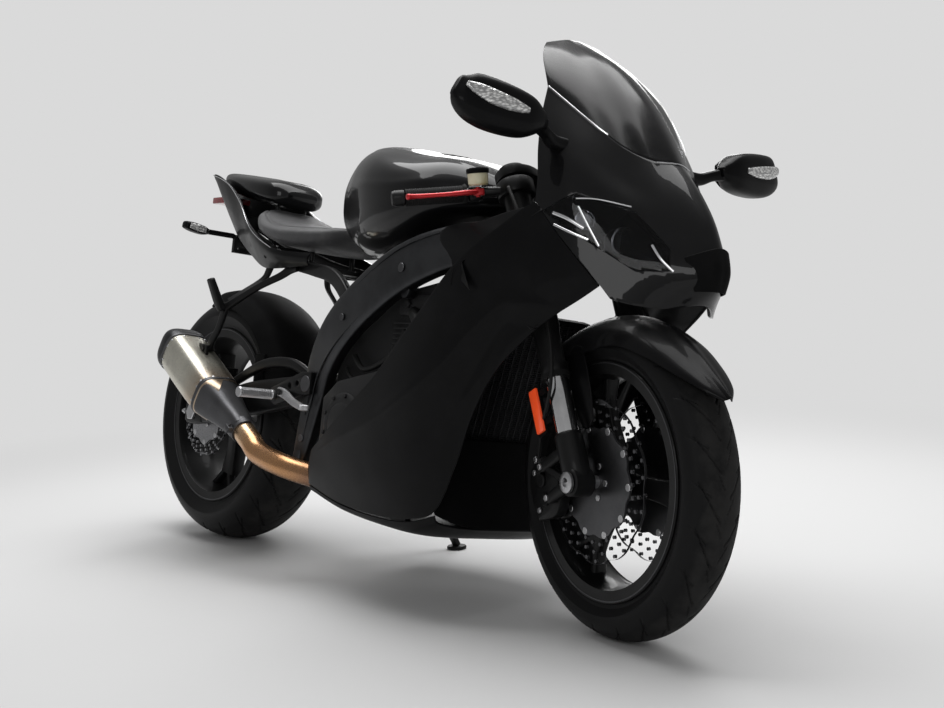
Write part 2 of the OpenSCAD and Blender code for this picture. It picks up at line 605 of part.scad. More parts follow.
function both_halves(right, middle) =
    concat(right, [middle], [for (i = [len(right) - 1:-1:0]) [for (p = right[i]) [p.x, -p.y, p.z]]]);
parting = [[1270, 860], [1335, 800], [1385, 742], [1456, 655], [1500, 595]];
module below_parting(gap) {
    both_sides() rotate([90, 0, 0]) translate([0, 0, 100]) linear_extrude(220)
        polygon(concat([for (p = parting) p - [gap, gap] * 0.7], [[1500, 400], [1200, 400]]));
}
module nose_shape() {
    difference() {
        sheet(smooth_grid(both_halves(nose_right, nose_tip), 3, 2), panel_t);
        below_parting(0);
    }
}
module headlight_area(gap) {
    both_sides() rotate([90, 0, 0]) translate([0, 0, 34 - gap]) linear_extrude(220 + gap) offset_area(gap);
}
module offset_area(g) {
    polygon([[1345 - 2 * g, 790], [1400, 826 + g], [1480, 800 + g], [1545 + g, 735], [1552 + g, 694 - g], [1500, 690 - g], [1440, 728 - g]]);
}
mirror_mount = [1345, 120, 918];
module nose_fairing() {
    color([0.05, 0.05, 0.05]) parked() difference() {
        nose_shape();
        headlight_area(seat_gap);
        both_sides() across_y(14 + seat_gap, 140, mirror_mount.x, mirror_mount.z, 180);
    }
}
module headlights() {
    color([0.3, 0.3, 0.32]) parked() intersection() {
        nose_shape();
        headlight_area(0);
    }
}
module windscreen() {
    color([0.1, 0.1, 0.12]) parked() sheet(smooth_grid(both_halves([
        [[1281.5, -172, 1040.9], [1262, -165, 1075], [1236, -150, 1105], [1205, -125, 1135], [1182, -100, 1155]],
        [[1359.4, -130, 975.8], [1325, -125, 1030], [1285, -112, 1080], [1235, -92, 1128], [1180, -62, 1168]],
        [[1419.4, -85, 925.8], [1375, -80, 992], [1322, -72, 1060], [1258, -60, 1120], [1178, -38, 1175]],
        [[1461.4, -45, 905.8], [1408, -42, 985], [1345, -38, 1058], [1270, -30, 1122], [1174, -18, 1178]]],
        [[1477.4, 0, 908.8], [1420, 0, 985], [1352, 0, 1060], [1274, 0, 1125], [1172, 0, 1180]]), 2, 2), screen_t);
}
side_rows = [
    [[640, -196, 205], [645, -203, 225], [650, -209, 245], [658, -213, 265], [667, -216, 283]],
    [[785, -214, 180], [785, -225, 230], [786, -233, 280], [789, -237, 325], [793, -238, 368]],
    [[924, -218, 170], [924, -236, 240], [924, -247, 315], [924, -251, 390], [924, -250, 460]],
    [[1030, -212, 175], [1032, -234, 270], [1035, -249, 370], [1038, -256, 475], [1042, -254, 577]],
    [[1100, -198, 200], [1110, -220, 310], [1122, -238, 435], [1136, -250, 565], [1150, -249, 690]],
    [[1150, -196, 300], [1168, -212, 410], [1190, -226, 525], [1215, -236, 640], [1240, -236, 752]],
    [[1190, -200, 400], [1220, -208, 500], [1258, -214, 600], [1298, -216, 700], [1345, -211, 812]],
    [[1250, -202, 490], [1280, -203, 552], [1315, -202, 615], [1350, -200, 678], [1394, -194, 752]],
    [[1330, -186, 570], [1360, -179, 592], [1390, -171, 612], [1422, -162, 633], [1464, -149, 664]]];
module side_fairings() {
    color([0.05, 0.05, 0.05]) parked() both_sides() difference() {
        sheet(smooth_grid(side_rows, 2, 2), panel_t);
        rotate([90, 0, 0]) translate([0, 0, 100]) linear_extrude(220)
            polygon(concat([for (p = parting) p - [seat_gap, seat_gap]], [[1600, 700], [1400, 900]]));
        across_y(6 + seat_gap, 120, 760, 300, -212);
        across_y(6 + seat_gap, 120, 900, 385, -216);
    }
}
module belly_pan() {
    rows = [[640, 195, 201, 180], [785, 213, 176, 156], [924, 217, 166, belly_z + 4], [1030, 211, 169, belly_z],
        [1099, 197, 190, belly_z + 26]];
    color([0.05, 0.05, 0.05]) parked() difference() {
        sheet(smooth_grid([for (r = rows) [for (k = [-3:3]) let(q = abs(k) / 3)
            [r[0], -sign(k) * r[1] * [0, 0.6, 0.93, 1][abs(k)], r[3] + (r[2] - r[3]) * [0, 0.06, 0.4, 1][abs(k)]]]], 2, 2),
            panel_t);
        for (y = [-70, 70]) translate([850, y, 100]) cylinder(r = 6 + seat_gap, h = 120);
    }
}
module mirrors() {
    color([0.06, 0.06, 0.06]) parked() both_sides() {
        across_y(14, 84, mirror_mount.x, mirror_mount.z, mirror_mount.y + seat_gap + 42);
        beam([[1345, 196, 918, 28, 28], [1352, 225, 930, 24, 22], [1362, 262, 940, 22, 24]], 4, 10, 2, [1, 0, 0]);
        beam([[1366, 250, 944, 30, 30], [1364, 272, 946, 50, 56], [1358, 320, 950, 62, 84], [1350, 380, 958, 60, 92],
            [1342, 424, 972, 44, 70], [1340, 436, 980, 20, 40]], 3, 14, 2, [1, 0, 0]);
    }
}
module instrument_panel() {
    color([0.08, 0.08, 0.08]) parked() difference() {
        union() {
            beam([[1180, 0, 792, 36, 50], [1260, 0, 808, 34, 40], [1320, 0, 860, 34, 30], [1345, 0, 918, 34, 28]], 5, 8, 2);
            across_y(14, 240, mirror_mount.x, mirror_mount.z);
            translate([1290, 0, 930]) rotate([0, -50, 0]) translate([-50, -85, -14]) cube([100, 170, 28]);
            translate([1290, -20, 905]) cube([50, 40, 30]);
        }
        at_front_axle() rotate([0, -rake, 0]) translate([steer_offset, 0, 400]) cylinder(r = 33 + seat_gap, h = 300);
    }
}
module rider_footrests() {
    color([0.12, 0.12, 0.12]) parked() both_sides() {
        difference() {
            rotate([90, 0, 0]) translate([0, 0, -184]) linear_extrude(10) polygon([[585, 452], [545, 452], [420, 408], [416, 380], [440, 368], [545, 398], [585, 402]]);
            across_y(13 + seat_gap, 420, pivot.x, pivot.z);
            across_y(8 + seat_gap, 420, 436, 392);
            across_y(5 + seat_gap, 420, 480, 400);
        }
        across_y(5, 26, 480, 400, 187);
        across_y(8, 20, 436, 392, 182);
        across_y(11, 95, 436, 392, 184 + seat_gap + 47.5);
        beam([[470, 192, 402, 12, 20], [500, 193, 396, 10, 22], [560, 206, 380, 8, 18], [620, 222, 372, 10, 16], [650, 236, 372, 30, 14]], 4, 8, 2);
    }
}
module passenger_footrests() {
    color([0.1, 0.1, 0.1]) parked() {
        both_sides() {
            difference() {
                union() {
                    beam([[358, 107, 706, 10, 24], [330, 108, 700, 10, 24], [300, 116, 682, 10, 18], [240, 142, 650, 10, 16],
                        [170, 168, 606, 12, 18], [140, 172, 592, 14, 30]], 5, 8, 2);
                    beam([[206, 86, 722, 10, 20], [200, 88, 704, 10, 22], [192, 98, 676, 10, 18], [178, 138, 640, 10, 18],
                        [158, 168, 610, 12, 20]], 5, 8, 2);
                    beam([[150, 184, 590, 20, 20], [148, 196, 610, 24, 20], [144, 220, 660, 22, 16]], 4, 8, 2, [1, 0, 0]);
                }
                across_y(6 + seat_gap, 300, 348, 706);
                across_y(6 + seat_gap, 300, 200, 722);
            }
        }
        mirror([0, 1, 0]) difference() {
            beam([[150, 172, 600, 12, 26], [140, 182, 540, 10, 20], [130, 191, 508, 10, 22], [128, 191, 486, 10, 14]], 5, 8, 2);
            across_y(6 + seat_gap, 600, 128, 488);
        }
    }
}
module rear_hugger() {
    color([0.07, 0.07, 0.07]) parked() {
        at_rear_axle() sheet(smooth_grid([for (t = [70, 50, 30, 10, -8]) [for (k = [-3:3])
            let(r = rear_tyre_d / 2 + 16 - [0, 4, 18, k < 0 ? 32 : 52][abs(k)], y = sign(k) * [0, 44, 80, k < 0 ? 92 : 108][abs(k)])
            [r * sin(t), -y, r * cos(t)]]], 2, 2), 4);
        difference() {
            translate([hugger_tab.x, -112, hugger_tab.y]) cube([44, 7, 100]);
            across_y(6 + seat_gap, 40, hugger_tab.x + 21, hugger_tab.y + 10, -110);
        }
    }
}
module rear_caliper() {
    color([0.12, 0.12, 0.12]) parked() difference() {
        at_rear_axle() translate([24, -120 + seat_gap, 17.6]) cube([74, 36, 106]);
        at_rear_axle() across_y(rear_disc_d / 2 + 6, 16, 0, 0, -rear_hub_w / 2 - seat_gap - disc_t / 2);
        at_rear_axle() across_y(74, 60, 0, 0, -100);
    }
}
module chain() {
    color([0.35, 0.33, 0.3]) parked() translate([0, sprocket_y + 8, 0]) rotate([90, 0, 0]) linear_extrude(16) difference() {
        polygon(chain_line(14));
        polygon(chain_line(0));
    }
}

// ---- side stand: its foot rests flat on the floor ----
stand_pivot = [540, 194, 240];
stand_foot = [573, 310];
stand_foot_design = turn_x([stand_foot.x, stand_foot.y, 6], lean);
stand_out = atan2(stand_foot_design.y - stand_pivot.y, stand_pivot.z - stand_foot_design.z);
module at_stand() { translate(stand_pivot) rotate([-90 + stand_out, 0, 0]) children(); }
module stand_lug() {
    at_stand() translate([0, 0, -26]) cylinder(r = 17, h = 20 - seat_gap);
    at_stand() translate([0, 0, -20]) cylinder(r = 7, h = 34);
    at_stand() translate([0, 0, 6 + seat_gap]) cylinder(r = 12, h = 6);
    beam([[534, 150, 262, 30, 44], [538, 160, 243, 28, 34], [540, 172, 226, 26, 18]], 4, 10, 2, [1, 0, 0]);
}
module side_stand() {
    color([0.15, 0.15, 0.15]) {
        difference() {
            parked() difference() {
                union() {
                    at_stand() translate([0, 0, -6]) cylinder(r = 17, h = 12);
                    beam([[stand_pivot.x + 2, stand_pivot.y + 6, stand_pivot.z - 10, 22, 12],
                        [(stand_pivot.x + stand_foot.x) / 2, (stand_pivot.y + stand_foot_design.y) / 2,
                            (stand_pivot.z + stand_foot_design.z) / 2, 22, 20],
                        [stand_foot_design.x, stand_foot_design.y, stand_foot_design.z, 24, 20]], 4, 10, 3, [1, 0, 0]);
                }
                at_stand() cylinder(r = 7 + running_gap, h = 60, center = true);
                at_stand() translate([0, 0, 6]) cylinder(r = 18, h = 14);
                at_stand() translate([0, 0, -26]) cylinder(r = 22, h = 20);
            }
            translate([-500, -200, -100]) cube([1000, 1000, 100]);
        }
        translate([stand_foot.x - box_centre_x, stand_foot.y - box_centre_y, 0]) cylinder(r = 24, h = 8);
    }
}

frame();
subframe();
swingarm();
rear_axle();
shock_absorber();
engine();
radiator();
exhaust_pipe();
muffler();
fuel_tank();
fuel_cap();
rider_seat();
pillion_seat();
tail_cowl();
rear_lights();
nose_fairing();
windscreen();
headlights();
side_fairings();
belly_pan();
mirrors();
instrument_panel();
rider_footrests();
passenger_footrests();
rear_hugger();
rear_caliper();
chain();
side_stand();
triple_clamps();
fork_tubes();
fork_stanchions();
fork_feet();
front_calipers();
front_fender();
handlebars();
grips();
hand_levers();
front_axle();
front_tyre();
front_rim();
front_discs();
rear_tyre();
rear_rim();
rear_disc();
rear_sprocket();
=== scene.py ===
# %% [markdown]
# A sport motorcycle, leaning on its side stand. The real thing is a frame with an engine in it, two
# wheels, and painted plastic panels around them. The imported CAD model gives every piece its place,
# and this script gives each piece its finished shape and its finish. Lengths in the tables are
# millimetres on the upright bike, as a workshop drawing has them: x forward from the rear axle,
# y to the rider's left, z up from the floor.

# %% Load the fixed frame
import json
import math

import bmesh
import bpy
import numpy as np
from mathutils import Matrix, Vector


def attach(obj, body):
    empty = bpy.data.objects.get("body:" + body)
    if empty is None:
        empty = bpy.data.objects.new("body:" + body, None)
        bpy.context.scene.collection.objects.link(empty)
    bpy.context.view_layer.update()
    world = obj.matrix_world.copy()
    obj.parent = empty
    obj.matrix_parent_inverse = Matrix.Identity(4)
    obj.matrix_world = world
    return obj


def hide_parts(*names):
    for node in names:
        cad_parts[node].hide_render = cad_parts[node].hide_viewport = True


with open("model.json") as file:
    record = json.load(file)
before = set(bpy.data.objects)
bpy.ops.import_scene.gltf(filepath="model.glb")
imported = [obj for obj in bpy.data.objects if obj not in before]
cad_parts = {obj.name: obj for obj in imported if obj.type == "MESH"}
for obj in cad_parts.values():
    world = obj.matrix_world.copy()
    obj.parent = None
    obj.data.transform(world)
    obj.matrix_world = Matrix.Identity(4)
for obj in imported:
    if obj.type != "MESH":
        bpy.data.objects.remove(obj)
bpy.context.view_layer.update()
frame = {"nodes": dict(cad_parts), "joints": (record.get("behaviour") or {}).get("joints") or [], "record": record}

# %% [markdown]
# The bike is drawn upright and straight, and then it is parked: the steering turns a little to the
# right about its raked axis, and the whole bike leans onto its stand. Two matrices do both, so every
# piece can be drawn in the simple upright position.

# %% Stance
MM = 0.001
LEAN, STEER, RAKE, TRAIL = math.radians(10.4), math.radians(-10.8), math.radians(25), 107
FRONT_X, FRONT_Z, REAR_Z = 1425, 303.02, 322.36
joints = {j["name"]: j for j in frame["joints"]}
axle_now = Vector([j * 1000 for j in joints["rear_wheel_spin"]["pos_m"]])
lean_turn = Matrix.Rotation(-LEAN, 4, "X")
PARKED = Matrix.Scale(MM, 4) @ Matrix.Translation(axle_now - lean_turn @ Vector((0, 0, REAR_Z))) @ lean_turn
steer_axis = Vector((-math.sin(RAKE), 0, math.cos(RAKE)))
steer_foot = Vector((FRONT_X + TRAIL, 0, 0))
TURNED = (PARKED @ Matrix.Translation(steer_foot) @ Matrix.Rotation(STEER, 4, steer_axis)
          @ Matrix.Translation(-steer_foot))
FRONT_AXLE = Vector((FRONT_X, 0, FRONT_Z))
FORK = Matrix.Translation(FRONT_AXLE) @ Matrix.Rotation(-RAKE, 4, "Y")
STEM_X = TRAIL * math.cos(RAKE) - FRONT_Z * math.sin(RAKE)
LEG_Y = 105
PLACE = {"chassis": PARKED, "rear_wheel": PARKED, "side_stand": PARKED, "steering": TURNED,
         "front_wheel": TURNED}
print("rear axle at", tuple(round(v) for v in PARKED @ Vector((0, 0, REAR_Z)) * 1000))

# %% [markdown]
# The camera stands at the right front corner of the bike, at about the height of the tank, with a
# short telephoto lens.

# %% Camera
CAMERA_POINT = Vector((3346, -1880, 780))
YAW, PITCH, ROLL = math.radians(140.78), math.radians(-4.81), math.radians(-2.27)
camera_data = bpy.data.cameras.new("camera")
camera_data.lens = 1444.3 / 944 * 36
camera_data.clip_end = 60
camera = bpy.data.objects.new("camera", camera_data)
bpy.context.scene.collection.objects.link(camera)
shift = PARKED.to_translation() * 1000
place = (Vector((CAMERA_POINT.x + shift.x, CAMERA_POINT.y + shift.y, CAMERA_POINT.z))) * MM
look = Vector((math.cos(PITCH) * math.cos(YAW), math.cos(PITCH) * math.sin(YAW), math.sin(PITCH)))
side = Vector((math.sin(YAW), -math.cos(YAW), 0))
over = side.cross(look)
across = math.cos(ROLL) * side + math.sin(ROLL) * over
upward = -math.sin(ROLL) * side + math.cos(ROLL) * over
camera.matrix_world = Matrix.Translation(place) @ Matrix((across, upward, -look)).transposed().to_4x4()
bpy.context.scene.camera = camera
print("camera at", tuple(round(v, 3) for v in place))

# %% [markdown]
# Bodywork is drawn as a small table of points that a smooth curve runs through. Catmull-Rom curves
# pass through every point of the table, which makes a table easy to read and to mend.

# %% Smooth curves and surfaces
def smooth(rows, steps):
    """Points on the curve through rows, with steps of them for each row."""
    rows = np.asarray(rows, float)
    last = len(rows) - 1
    out = []
    for i in range(last):
        a, b, c, d = rows[max(i - 1, 0)], rows[i], rows[i + 1], rows[min(i + 2, last)]
        for k in range(steps):
            t = k / steps
            out.append(0.5 * (2 * b + (c - a) * t + (2 * a - 5 * b + 4 * c - d) * t * t
                              + (3 * b - a - 3 * c + d) * t ** 3))
    out.append(rows[-1])
    return np.array(out)


def smooth_grid(rows, across_steps, along_steps):
    """A table of rows of points, made finer both ways."""
    fine = smooth(rows, across_steps)
    return smooth(fine.transpose(1, 0, 2), along_steps).transpose(1, 0, 2)


def unit(v):
    return v / np.maximum(np.linalg.norm(v, axis=-1, keepdims=True), 1e-9)


def super_round(angle, power):
    """A point of a rounded box: power 2 is round, 6 is nearly square."""
    c, s = math.cos(angle), math.sin(angle)
    return math.copysign(abs(c) ** (2 / power), c), math.copysign(abs(s) ** (2 / power), s)


# %% [markdown]
# Every mesh goes through one function, which moves it from the drawing to its parked place, hangs it
# on its CAD body, gives it its finish, and says which CAD solids it stands for.

# %% Make a piece
made = {}


def piece(name, verts, faces, body, finish, slot=None, stands_for=(), smooth_angle=35, extra=None,
          within=None):
    """A finished mesh piece from points in drawing millimetres."""
    mesh = bpy.data.meshes.new(name)
    matrix = PLACE[body] @ within if within is not None else PLACE[body]
    mesh.from_pydata([matrix @ Vector(v) for v in verts], [], [tuple(int(i) for i in f) for f in faces])
    mesh.validate()
    bm = bmesh.new()
    bm.from_mesh(mesh)
    bmesh.ops.remove_doubles(bm, verts=bm.verts, dist=0.00002)
    bmesh.ops.recalc_face_normals(bm, faces=bm.faces)
    bm.to_mesh(mesh)
    bm.free()
    return finish_piece(name, mesh, body, finish, slot, stands_for, smooth_angle, extra)


def finish_piece(name, mesh, body, finish, slot=None, stands_for=(), smooth_angle=35, extra=None):
    obj = bpy.data.objects.new(name + "_shape" if name in frame["nodes"] else name, mesh)
    bpy.context.scene.collection.objects.link(obj)
    for polygon in obj.data.polygons:
        polygon.use_smooth = True
    if smooth_angle:
        obj.data.set_sharp_from_angle(angle=math.radians(smooth_angle))
    obj.data.materials.clear()
    obj.data.materials.append(finish)
    for kind, settings in extra or ():
        modifier = obj.modifiers.new(kind.lower(), kind)
        for key, value in settings.items():
            setattr(modifier, key, value)
    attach(obj, body)
    if stands_for:
        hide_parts(*([stands_for] if isinstance(stands_for, str) else stands_for))
    made[name] = obj
    return obj


def join_parts(*parts):
    """Several (verts, faces) as one."""
    verts, faces = [], []
    for part_verts, part_faces in parts:
        base = len(verts)
        verts += [tuple(v) for v in part_verts]
        faces += [tuple(i + base for i in f) for f in part_faces]
    return verts, faces


def flipped(part):
    """The same part on the other side of the bike."""
    verts, faces = part
    return [(v[0], -v[1], v[2]) for v in verts], [tuple(reversed(f)) for f in faces]


def both(part):
    return join_parts(part, flipped(part))


def moved(part, matrix):
    return [tuple(matrix @ Vector(v)) for v in part[0]], part[1]


# %% [markdown]
# Three ways to make a shape cover most pieces here: a bar swept along a path, a profile turned on a
# lathe, and a flat plate cut to an outline. Panels come later, as thin sheets.

# %% Bar, lathe and plate
def rings(loops, closed=True, cap=True):
    """A skin over rings that have the same number of points."""
    n = len(loops[0])
    verts = [tuple(p) for ring in loops for p in ring]
    faces = []
    for i in range(len(loops) - 1):
        for j in range(n if closed else n - 1):
            a, b = i * n + j, i * n + (j + 1) % n
            faces.append((a, b, b + n, a + n))
    if cap:
        faces += [tuple(range(n))[::-1], tuple((len(loops) - 1) * n + j for j in range(n))]
    return verts, faces


def bar(rows, power=4, sides=24, steps=6, across=(0, 1, 0), round_ends=0):
    """A bar through rows of x, y, z, width, height."""
    path = smooth(rows, steps)
    centres = path[:, :3]
    tangent = unit(np.gradient(centres, axis=0))
    across = np.asarray(across, float)
    s = unit(across - (tangent @ across)[:, None] * tangent)
    u = np.cross(tangent, s)
    loops = []
    for i, row in enumerate(path):
        loops.append([centres[i] + s[i] * x * row[3] / 2 + u[i] * y * row[4] / 2 for x, y in
                      (super_round(2 * math.pi * (k + 0.5) / sides, power) for k in range(sides))])
    if round_ends:
        def dome(index, sign):
            extra_loops = []
            for k in (0.5, 0.85, 1.0):
                shrink = 1 - round_ends * (1 - math.sqrt(max(0, 1 - k * k)))
                push = sign * k * round_ends * min(path[index][3], path[index][4]) * 0.35
                extra_loops.append([centres[index] + (np.array(p) - centres[index]) * shrink
                                    + tangent[index] * push
                                    for p in loops[index]])
            return extra_loops
        start = dome(0, -1)
        end = dome(-1, 1)
        loops = start[::-1] + loops + end
    return rings(loops)


def pipe(points, diameter, sides=16, steps=6, across=(0, 1, 0)):
    sizes = diameter if hasattr(diameter, "__len__") else [diameter] * len(points)
    return bar([[*p, d, d] for p, d in zip(points, sizes)], 2, sides, steps, across)


def lathe(profile, segments=96, centre=(0, 0, 0), axis="Y", closed=True):
    """A profile of (radius, along) turned about an axis through centre."""
    loops = []
    for k in range(segments):
        a = 2 * math.pi * k / segments
        c, s = math.cos(a), math.sin(a)
        if axis == "Y":
            loops.append([(centre[0] + r * c, centre[1] + y, centre[2] + r * s) for r, y in profile])
        elif axis == "Z":
            loops.append([(centre[0] + r * c, centre[1] + r * s, centre[2] + y) for r, y in profile])
        else:
            loops.append([(centre[0] + y, centre[1] + r * c, centre[2] + r * s) for r, y in profile])
    verts = [p for loop in loops for p in loop]
    n = len(profile)
    faces = []
    for k in range(segments):
        for j in range(n if closed else n - 1):
            a, b = k * n + j, k * n + (j + 1) % n
            c = (k + 1) % segments * n
            faces.append((a, b, c + (j + 1) % n, c + j))
    return verts, faces


def disc_profile(r, half, bevel=1.0):
    return [(0.01, -half), (r - bevel, -half), (r, -half + bevel), (r, half - bevel), (r - bevel, half),
            (0.01, half)]


def rod(r, length, centre, axis="Y", bevel=1.0, segments=32):
    """A round bar or bolt head with softened edges."""
    return lathe(disc_profile(r, length / 2, min(bevel, r / 3, length / 3)), segments, centre, axis)


def plate(outline, holes=(), thickness=5, y=0, bevel=0.6):
    """A flat plate in the x-z plane, cut to an outline, with round or shaped holes."""
    curve = bpy.data.curves.new("plate", "CURVE")
    curve.dimensions = "2D"
    curve.fill_mode = "BOTH"
    curve.extrude = max(thickness / 2 - bevel, 0.01) * MM
    curve.bevel_depth = bevel * MM
    curve.bevel_resolution = 1
    curve.offset = -bevel * MM
    for line in [outline, *holes]:
        spline = curve.splines.new("POLY")
        spline.points.add(len(line) - 1)
        for point, (x, z) in zip(spline.points, line):
            point.co = (x * MM, z * MM, 0, 1)
        spline.use_cyclic_u = True
    obj = bpy.data.objects.new("plate", curve)
    bpy.context.scene.collection.objects.link(obj)
    mesh = bpy.data.meshes.new_from_object(obj.evaluated_get(bpy.context.evaluated_depsgraph_get()))
    verts = [(v.co.x / MM, y + v.co.z / MM, v.co.y / MM) for v in mesh.vertices]
    faces = [tuple(reversed(p.vertices)) for p in mesh.polygons]
    bpy.data.objects.remove(obj)
    bpy.data.curves.remove(curve)
    bpy.data.meshes.remove(mesh)
    return verts, faces


def circle(x, z, r, n=20):
    return [(x + r * math.cos(2 * math.pi * k / n), z + r * math.sin(2 * math.pi * k / n)) for k in range(n)]


def box_part(low, high, bevel=2.0):
    """A block with softened edges."""
    bm = bmesh.new()
    bmesh.ops.create_cube(bm, size=1)
    low, high = Vector(low), Vector(high)
    for v in bm.verts:
        v.co = Vector([(low[i] + high[i]) / 2 + v.co[i] * (high[i] - low[i]) for i in range(3)])
    bmesh.ops.bevel(bm, geom=bm.edges[:], offset=bevel, segments=2, affect="EDGES", profile=0.6)
    part = ([tuple(v.co) for v in bm.verts], [tuple(v.index for v in f.verts) for f in bm.faces])
    bm.free()
    return part

# %% [markdown]
# A finish is a small network of shader nodes. `Value` wraps one socket, so that arithmetic on sockets
# reads as arithmetic, and `Look` is one finish. Everything is worked out from where a point is on the
# bike, so nothing depends on the view.

# %% Finishes as arithmetic
class Value:
    def __init__(self, look, socket):
        self.look, self.socket = look, socket

    def calc(self, how, *others, clamp=False):
        return self.look.node("Math", {"operation": how, "use_clamp": clamp}, [self, *others])

    def __add__(self, other):
        return self.calc("ADD", other)

    def __sub__(self, other):
        return self.calc("SUBTRACT", other)

    def __mul__(self, other):
        return self.calc("MULTIPLY", other)

    def __truediv__(self, other):
        return self.calc("DIVIDE", other)

    def ramp(self, low, high, start=0.0, end=1.0):
        """start below low, end above high, and smooth between."""
        return self.look.node("MapRange", {"interpolation_type": "SMOOTHSTEP"},
                              [self, low, high, start, end])


class Look:
    def __init__(self, name, color, roughness=0.5, metal=0.0, **others):
        self.material = bpy.data.materials.new(name)
        self.material.use_nodes = True
        self.tree = self.material.node_tree
        self.surface = self.tree.nodes["Principled BSDF"]
        self.put(Base_Color=(*color, 1), Roughness=roughness, Metallic=metal, **others)

    def node(self, kind, settings=None, inputs=(), output=0):
        node = self.tree.nodes.new("ShaderNode" + kind)
        for key, value in (settings or {}).items():
            setattr(node, key, value)
        for key, value in inputs.items() if isinstance(inputs, dict) else enumerate(inputs):
            if isinstance(value, Value):
                self.tree.links.new(value.socket, node.inputs[key])
            else:
                node.inputs[key].default_value = value
        return Value(self, node.outputs[output])

    def put(self, **inputs):
        """Sets inputs of the surface, by number or by Value."""
        for key, value in inputs.items():
            socket = self.surface.inputs[key.replace("_", " ")]
            if isinstance(value, Value):
                self.tree.links.new(value.socket, socket)
            else:
                socket.default_value = value
        return self

    def where(self, stretch=(1, 1, 1)):
        """The point on the bike, in metres."""
        place = self.node("TexCoord", output=3)
        return place if stretch == (1, 1, 1) else self.node("VectorMath", {"operation": "MULTIPLY"},
                                                            [place, stretch])

    def noise(self, scale, detail=3.0, rough=0.5, stretch=(1, 1, 1), output=0):
        return self.node("TexNoise", inputs={"Vector": self.where(stretch), "Scale": scale, "Detail": detail,
                                             "Roughness": rough}, output=output)

    def mix(self, factor, a, b):
        """A colour between a and b."""
        give = lambda c: c if isinstance(c, Value) else (*c, 1)
        node = self.tree.nodes.new("ShaderNodeMix")
        node.data_type = "RGBA"
        for key, value in ((0, factor), (6, give(a)), (7, give(b))):
            if isinstance(value, Value):
                self.tree.links.new(value.socket, node.inputs[key])
            else:
                node.inputs[key].default_value = value
        return Value(self, node.outputs[2])

    def bump(self, height, depth, strength=1.0):
        """Small relief, depth metres deep."""
        return self.put(Normal=self.node("Bump", inputs={"Strength": strength, "Distance": depth,
                                                         "Height": height}))

    def along(self, point, direction):
        """How far a point lies from point in a direction, in metres."""
        offset = self.node("VectorMath", {"operation": "SUBTRACT"}, [self.where(), tuple(point)])
        return self.node("VectorMath", {"operation": "DOT_PRODUCT"}, [offset, tuple(direction)], output=1)

    def from_axis(self, point, direction):
        """Distance from an axis."""
        offset = self.node("VectorMath", {"operation": "SUBTRACT"}, [self.where(), tuple(point)])
        cross = self.node("VectorMath", {"operation": "CROSS_PRODUCT"}, [offset, tuple(direction)])
        return self.node("VectorMath", {"operation": "LENGTH"}, [cross], output=1)


# %% [markdown]
# Paints, plastics and coatings. Each has a little wear: dust that changes the roughness, and grain.

# %% Paints and plastics
looks = {}


def paint(name, color, roughness, coat, grain=0.0, grain_scale=900, dust=0.10, specular=0.35):
    look = Look(name, color, roughness, Specular_IOR_Level=specular, Coat_IOR=1.34, Coat_Weight=coat,
                Coat_Roughness=0.035)
    film = look.noise(6, 5, 0.6)
    look.put(Roughness=film.ramp(0.3, 0.75, roughness, roughness + dust))
    tint = tuple(c * 1.7 + 0.0015 for c in color)
    look.put(Base_Color=look.mix(look.noise(11, 4, 0.65).ramp(0.45, 0.8, 0.0, 0.6), color, tint))
    if grain:
        look.bump(look.noise(grain_scale, 2, 0.5), grain, 0.5)
    looks[name] = look.material
    return look


paint("gloss_black", (0.0028, 0.0028, 0.0032), 0.34, 0.7, 0.00002, 420, 0.06, 0.08)
paint("satin_black", (0.0026, 0.0026, 0.0029), 0.33, 0.12, 0.00003, 1500, 0.14, 0.08)
paint("matt_black", (0.0030, 0.0030, 0.0032), 0.6, 0.0, 0.00008, 1300, 0.12, 0.07)
paint("black_metal", (0.0045, 0.0045, 0.0047), 0.38, 0.12, 0.00004, 1100, 0.14, 0.18)
paint("engine_metal", (0.014, 0.014, 0.0145), 0.48, 0.0, 0.00012, 700, 0.16, 0.25).put(Metallic=0.2)
paint("rubber", (0.007, 0.007, 0.007), 0.7, 0.0, 0.00008, 1600, 0.1, 0.15)
paint("hose_black", (0.007, 0.007, 0.007), 0.5, 0.0, 0.00004, 2200, 0.1, 0.2)
paint("red_metal", (0.42, 0.008, 0.012), 0.27, 0.4, 0.00002, 1500, 0.1, 0.6).put(Metallic=0.55)
# the reflectors' orange, with a faint emission: a painted glow, since a reflector gives no light of its own
paint("reflector_orange_glow", (0.95, 0.10, 0.02), 0.30, 0.8, 0.00012, 500, 0.06, 0.5).put(
    Emission_Color=(1.0, 0.07, 0.02, 1), Emission_Strength=0.12)
print("paints:", ", ".join(looks))

# %% [markdown]
# Metals. Brushed ones have fine lines round their own axle, or along their length.

# %% Metals
def metal(name, color, roughness, brush=(1, 1, 1), brush_scale=500, depth=0.00002, wear=0.12):
    look = Look(name, color, roughness, 1.0)
    lines = look.noise(brush_scale, 3, 0.6, brush)
    look.put(Roughness=lines.ramp(0.3, 0.7, max(roughness - wear / 2, 0.04), roughness + wear))
    dark = tuple(c * 0.72 for c in color)
    look.put(Base_Color=look.mix(look.noise(14, 5, 0.6).ramp(0.35, 0.75), color, dark))
    look.bump(lines, depth, 0.4)
    looks[name] = look.material
    return look


def turned_metal(name, color, roughness, joint):
    look = metal(name, color, roughness)
    spot = joints[joint]
    ring = look.from_axis(spot["pos_m"], spot["axis"])
    lines = look.node("TexNoise", {"noise_dimensions": "1D"}, {"W": ring, "Scale": 2600.0, "Detail": 2.0})
    look.put(Roughness=lines.ramp(0.3, 0.7, roughness - 0.08, roughness + 0.1))
    return look.bump(lines, 0.00001, 0.35)


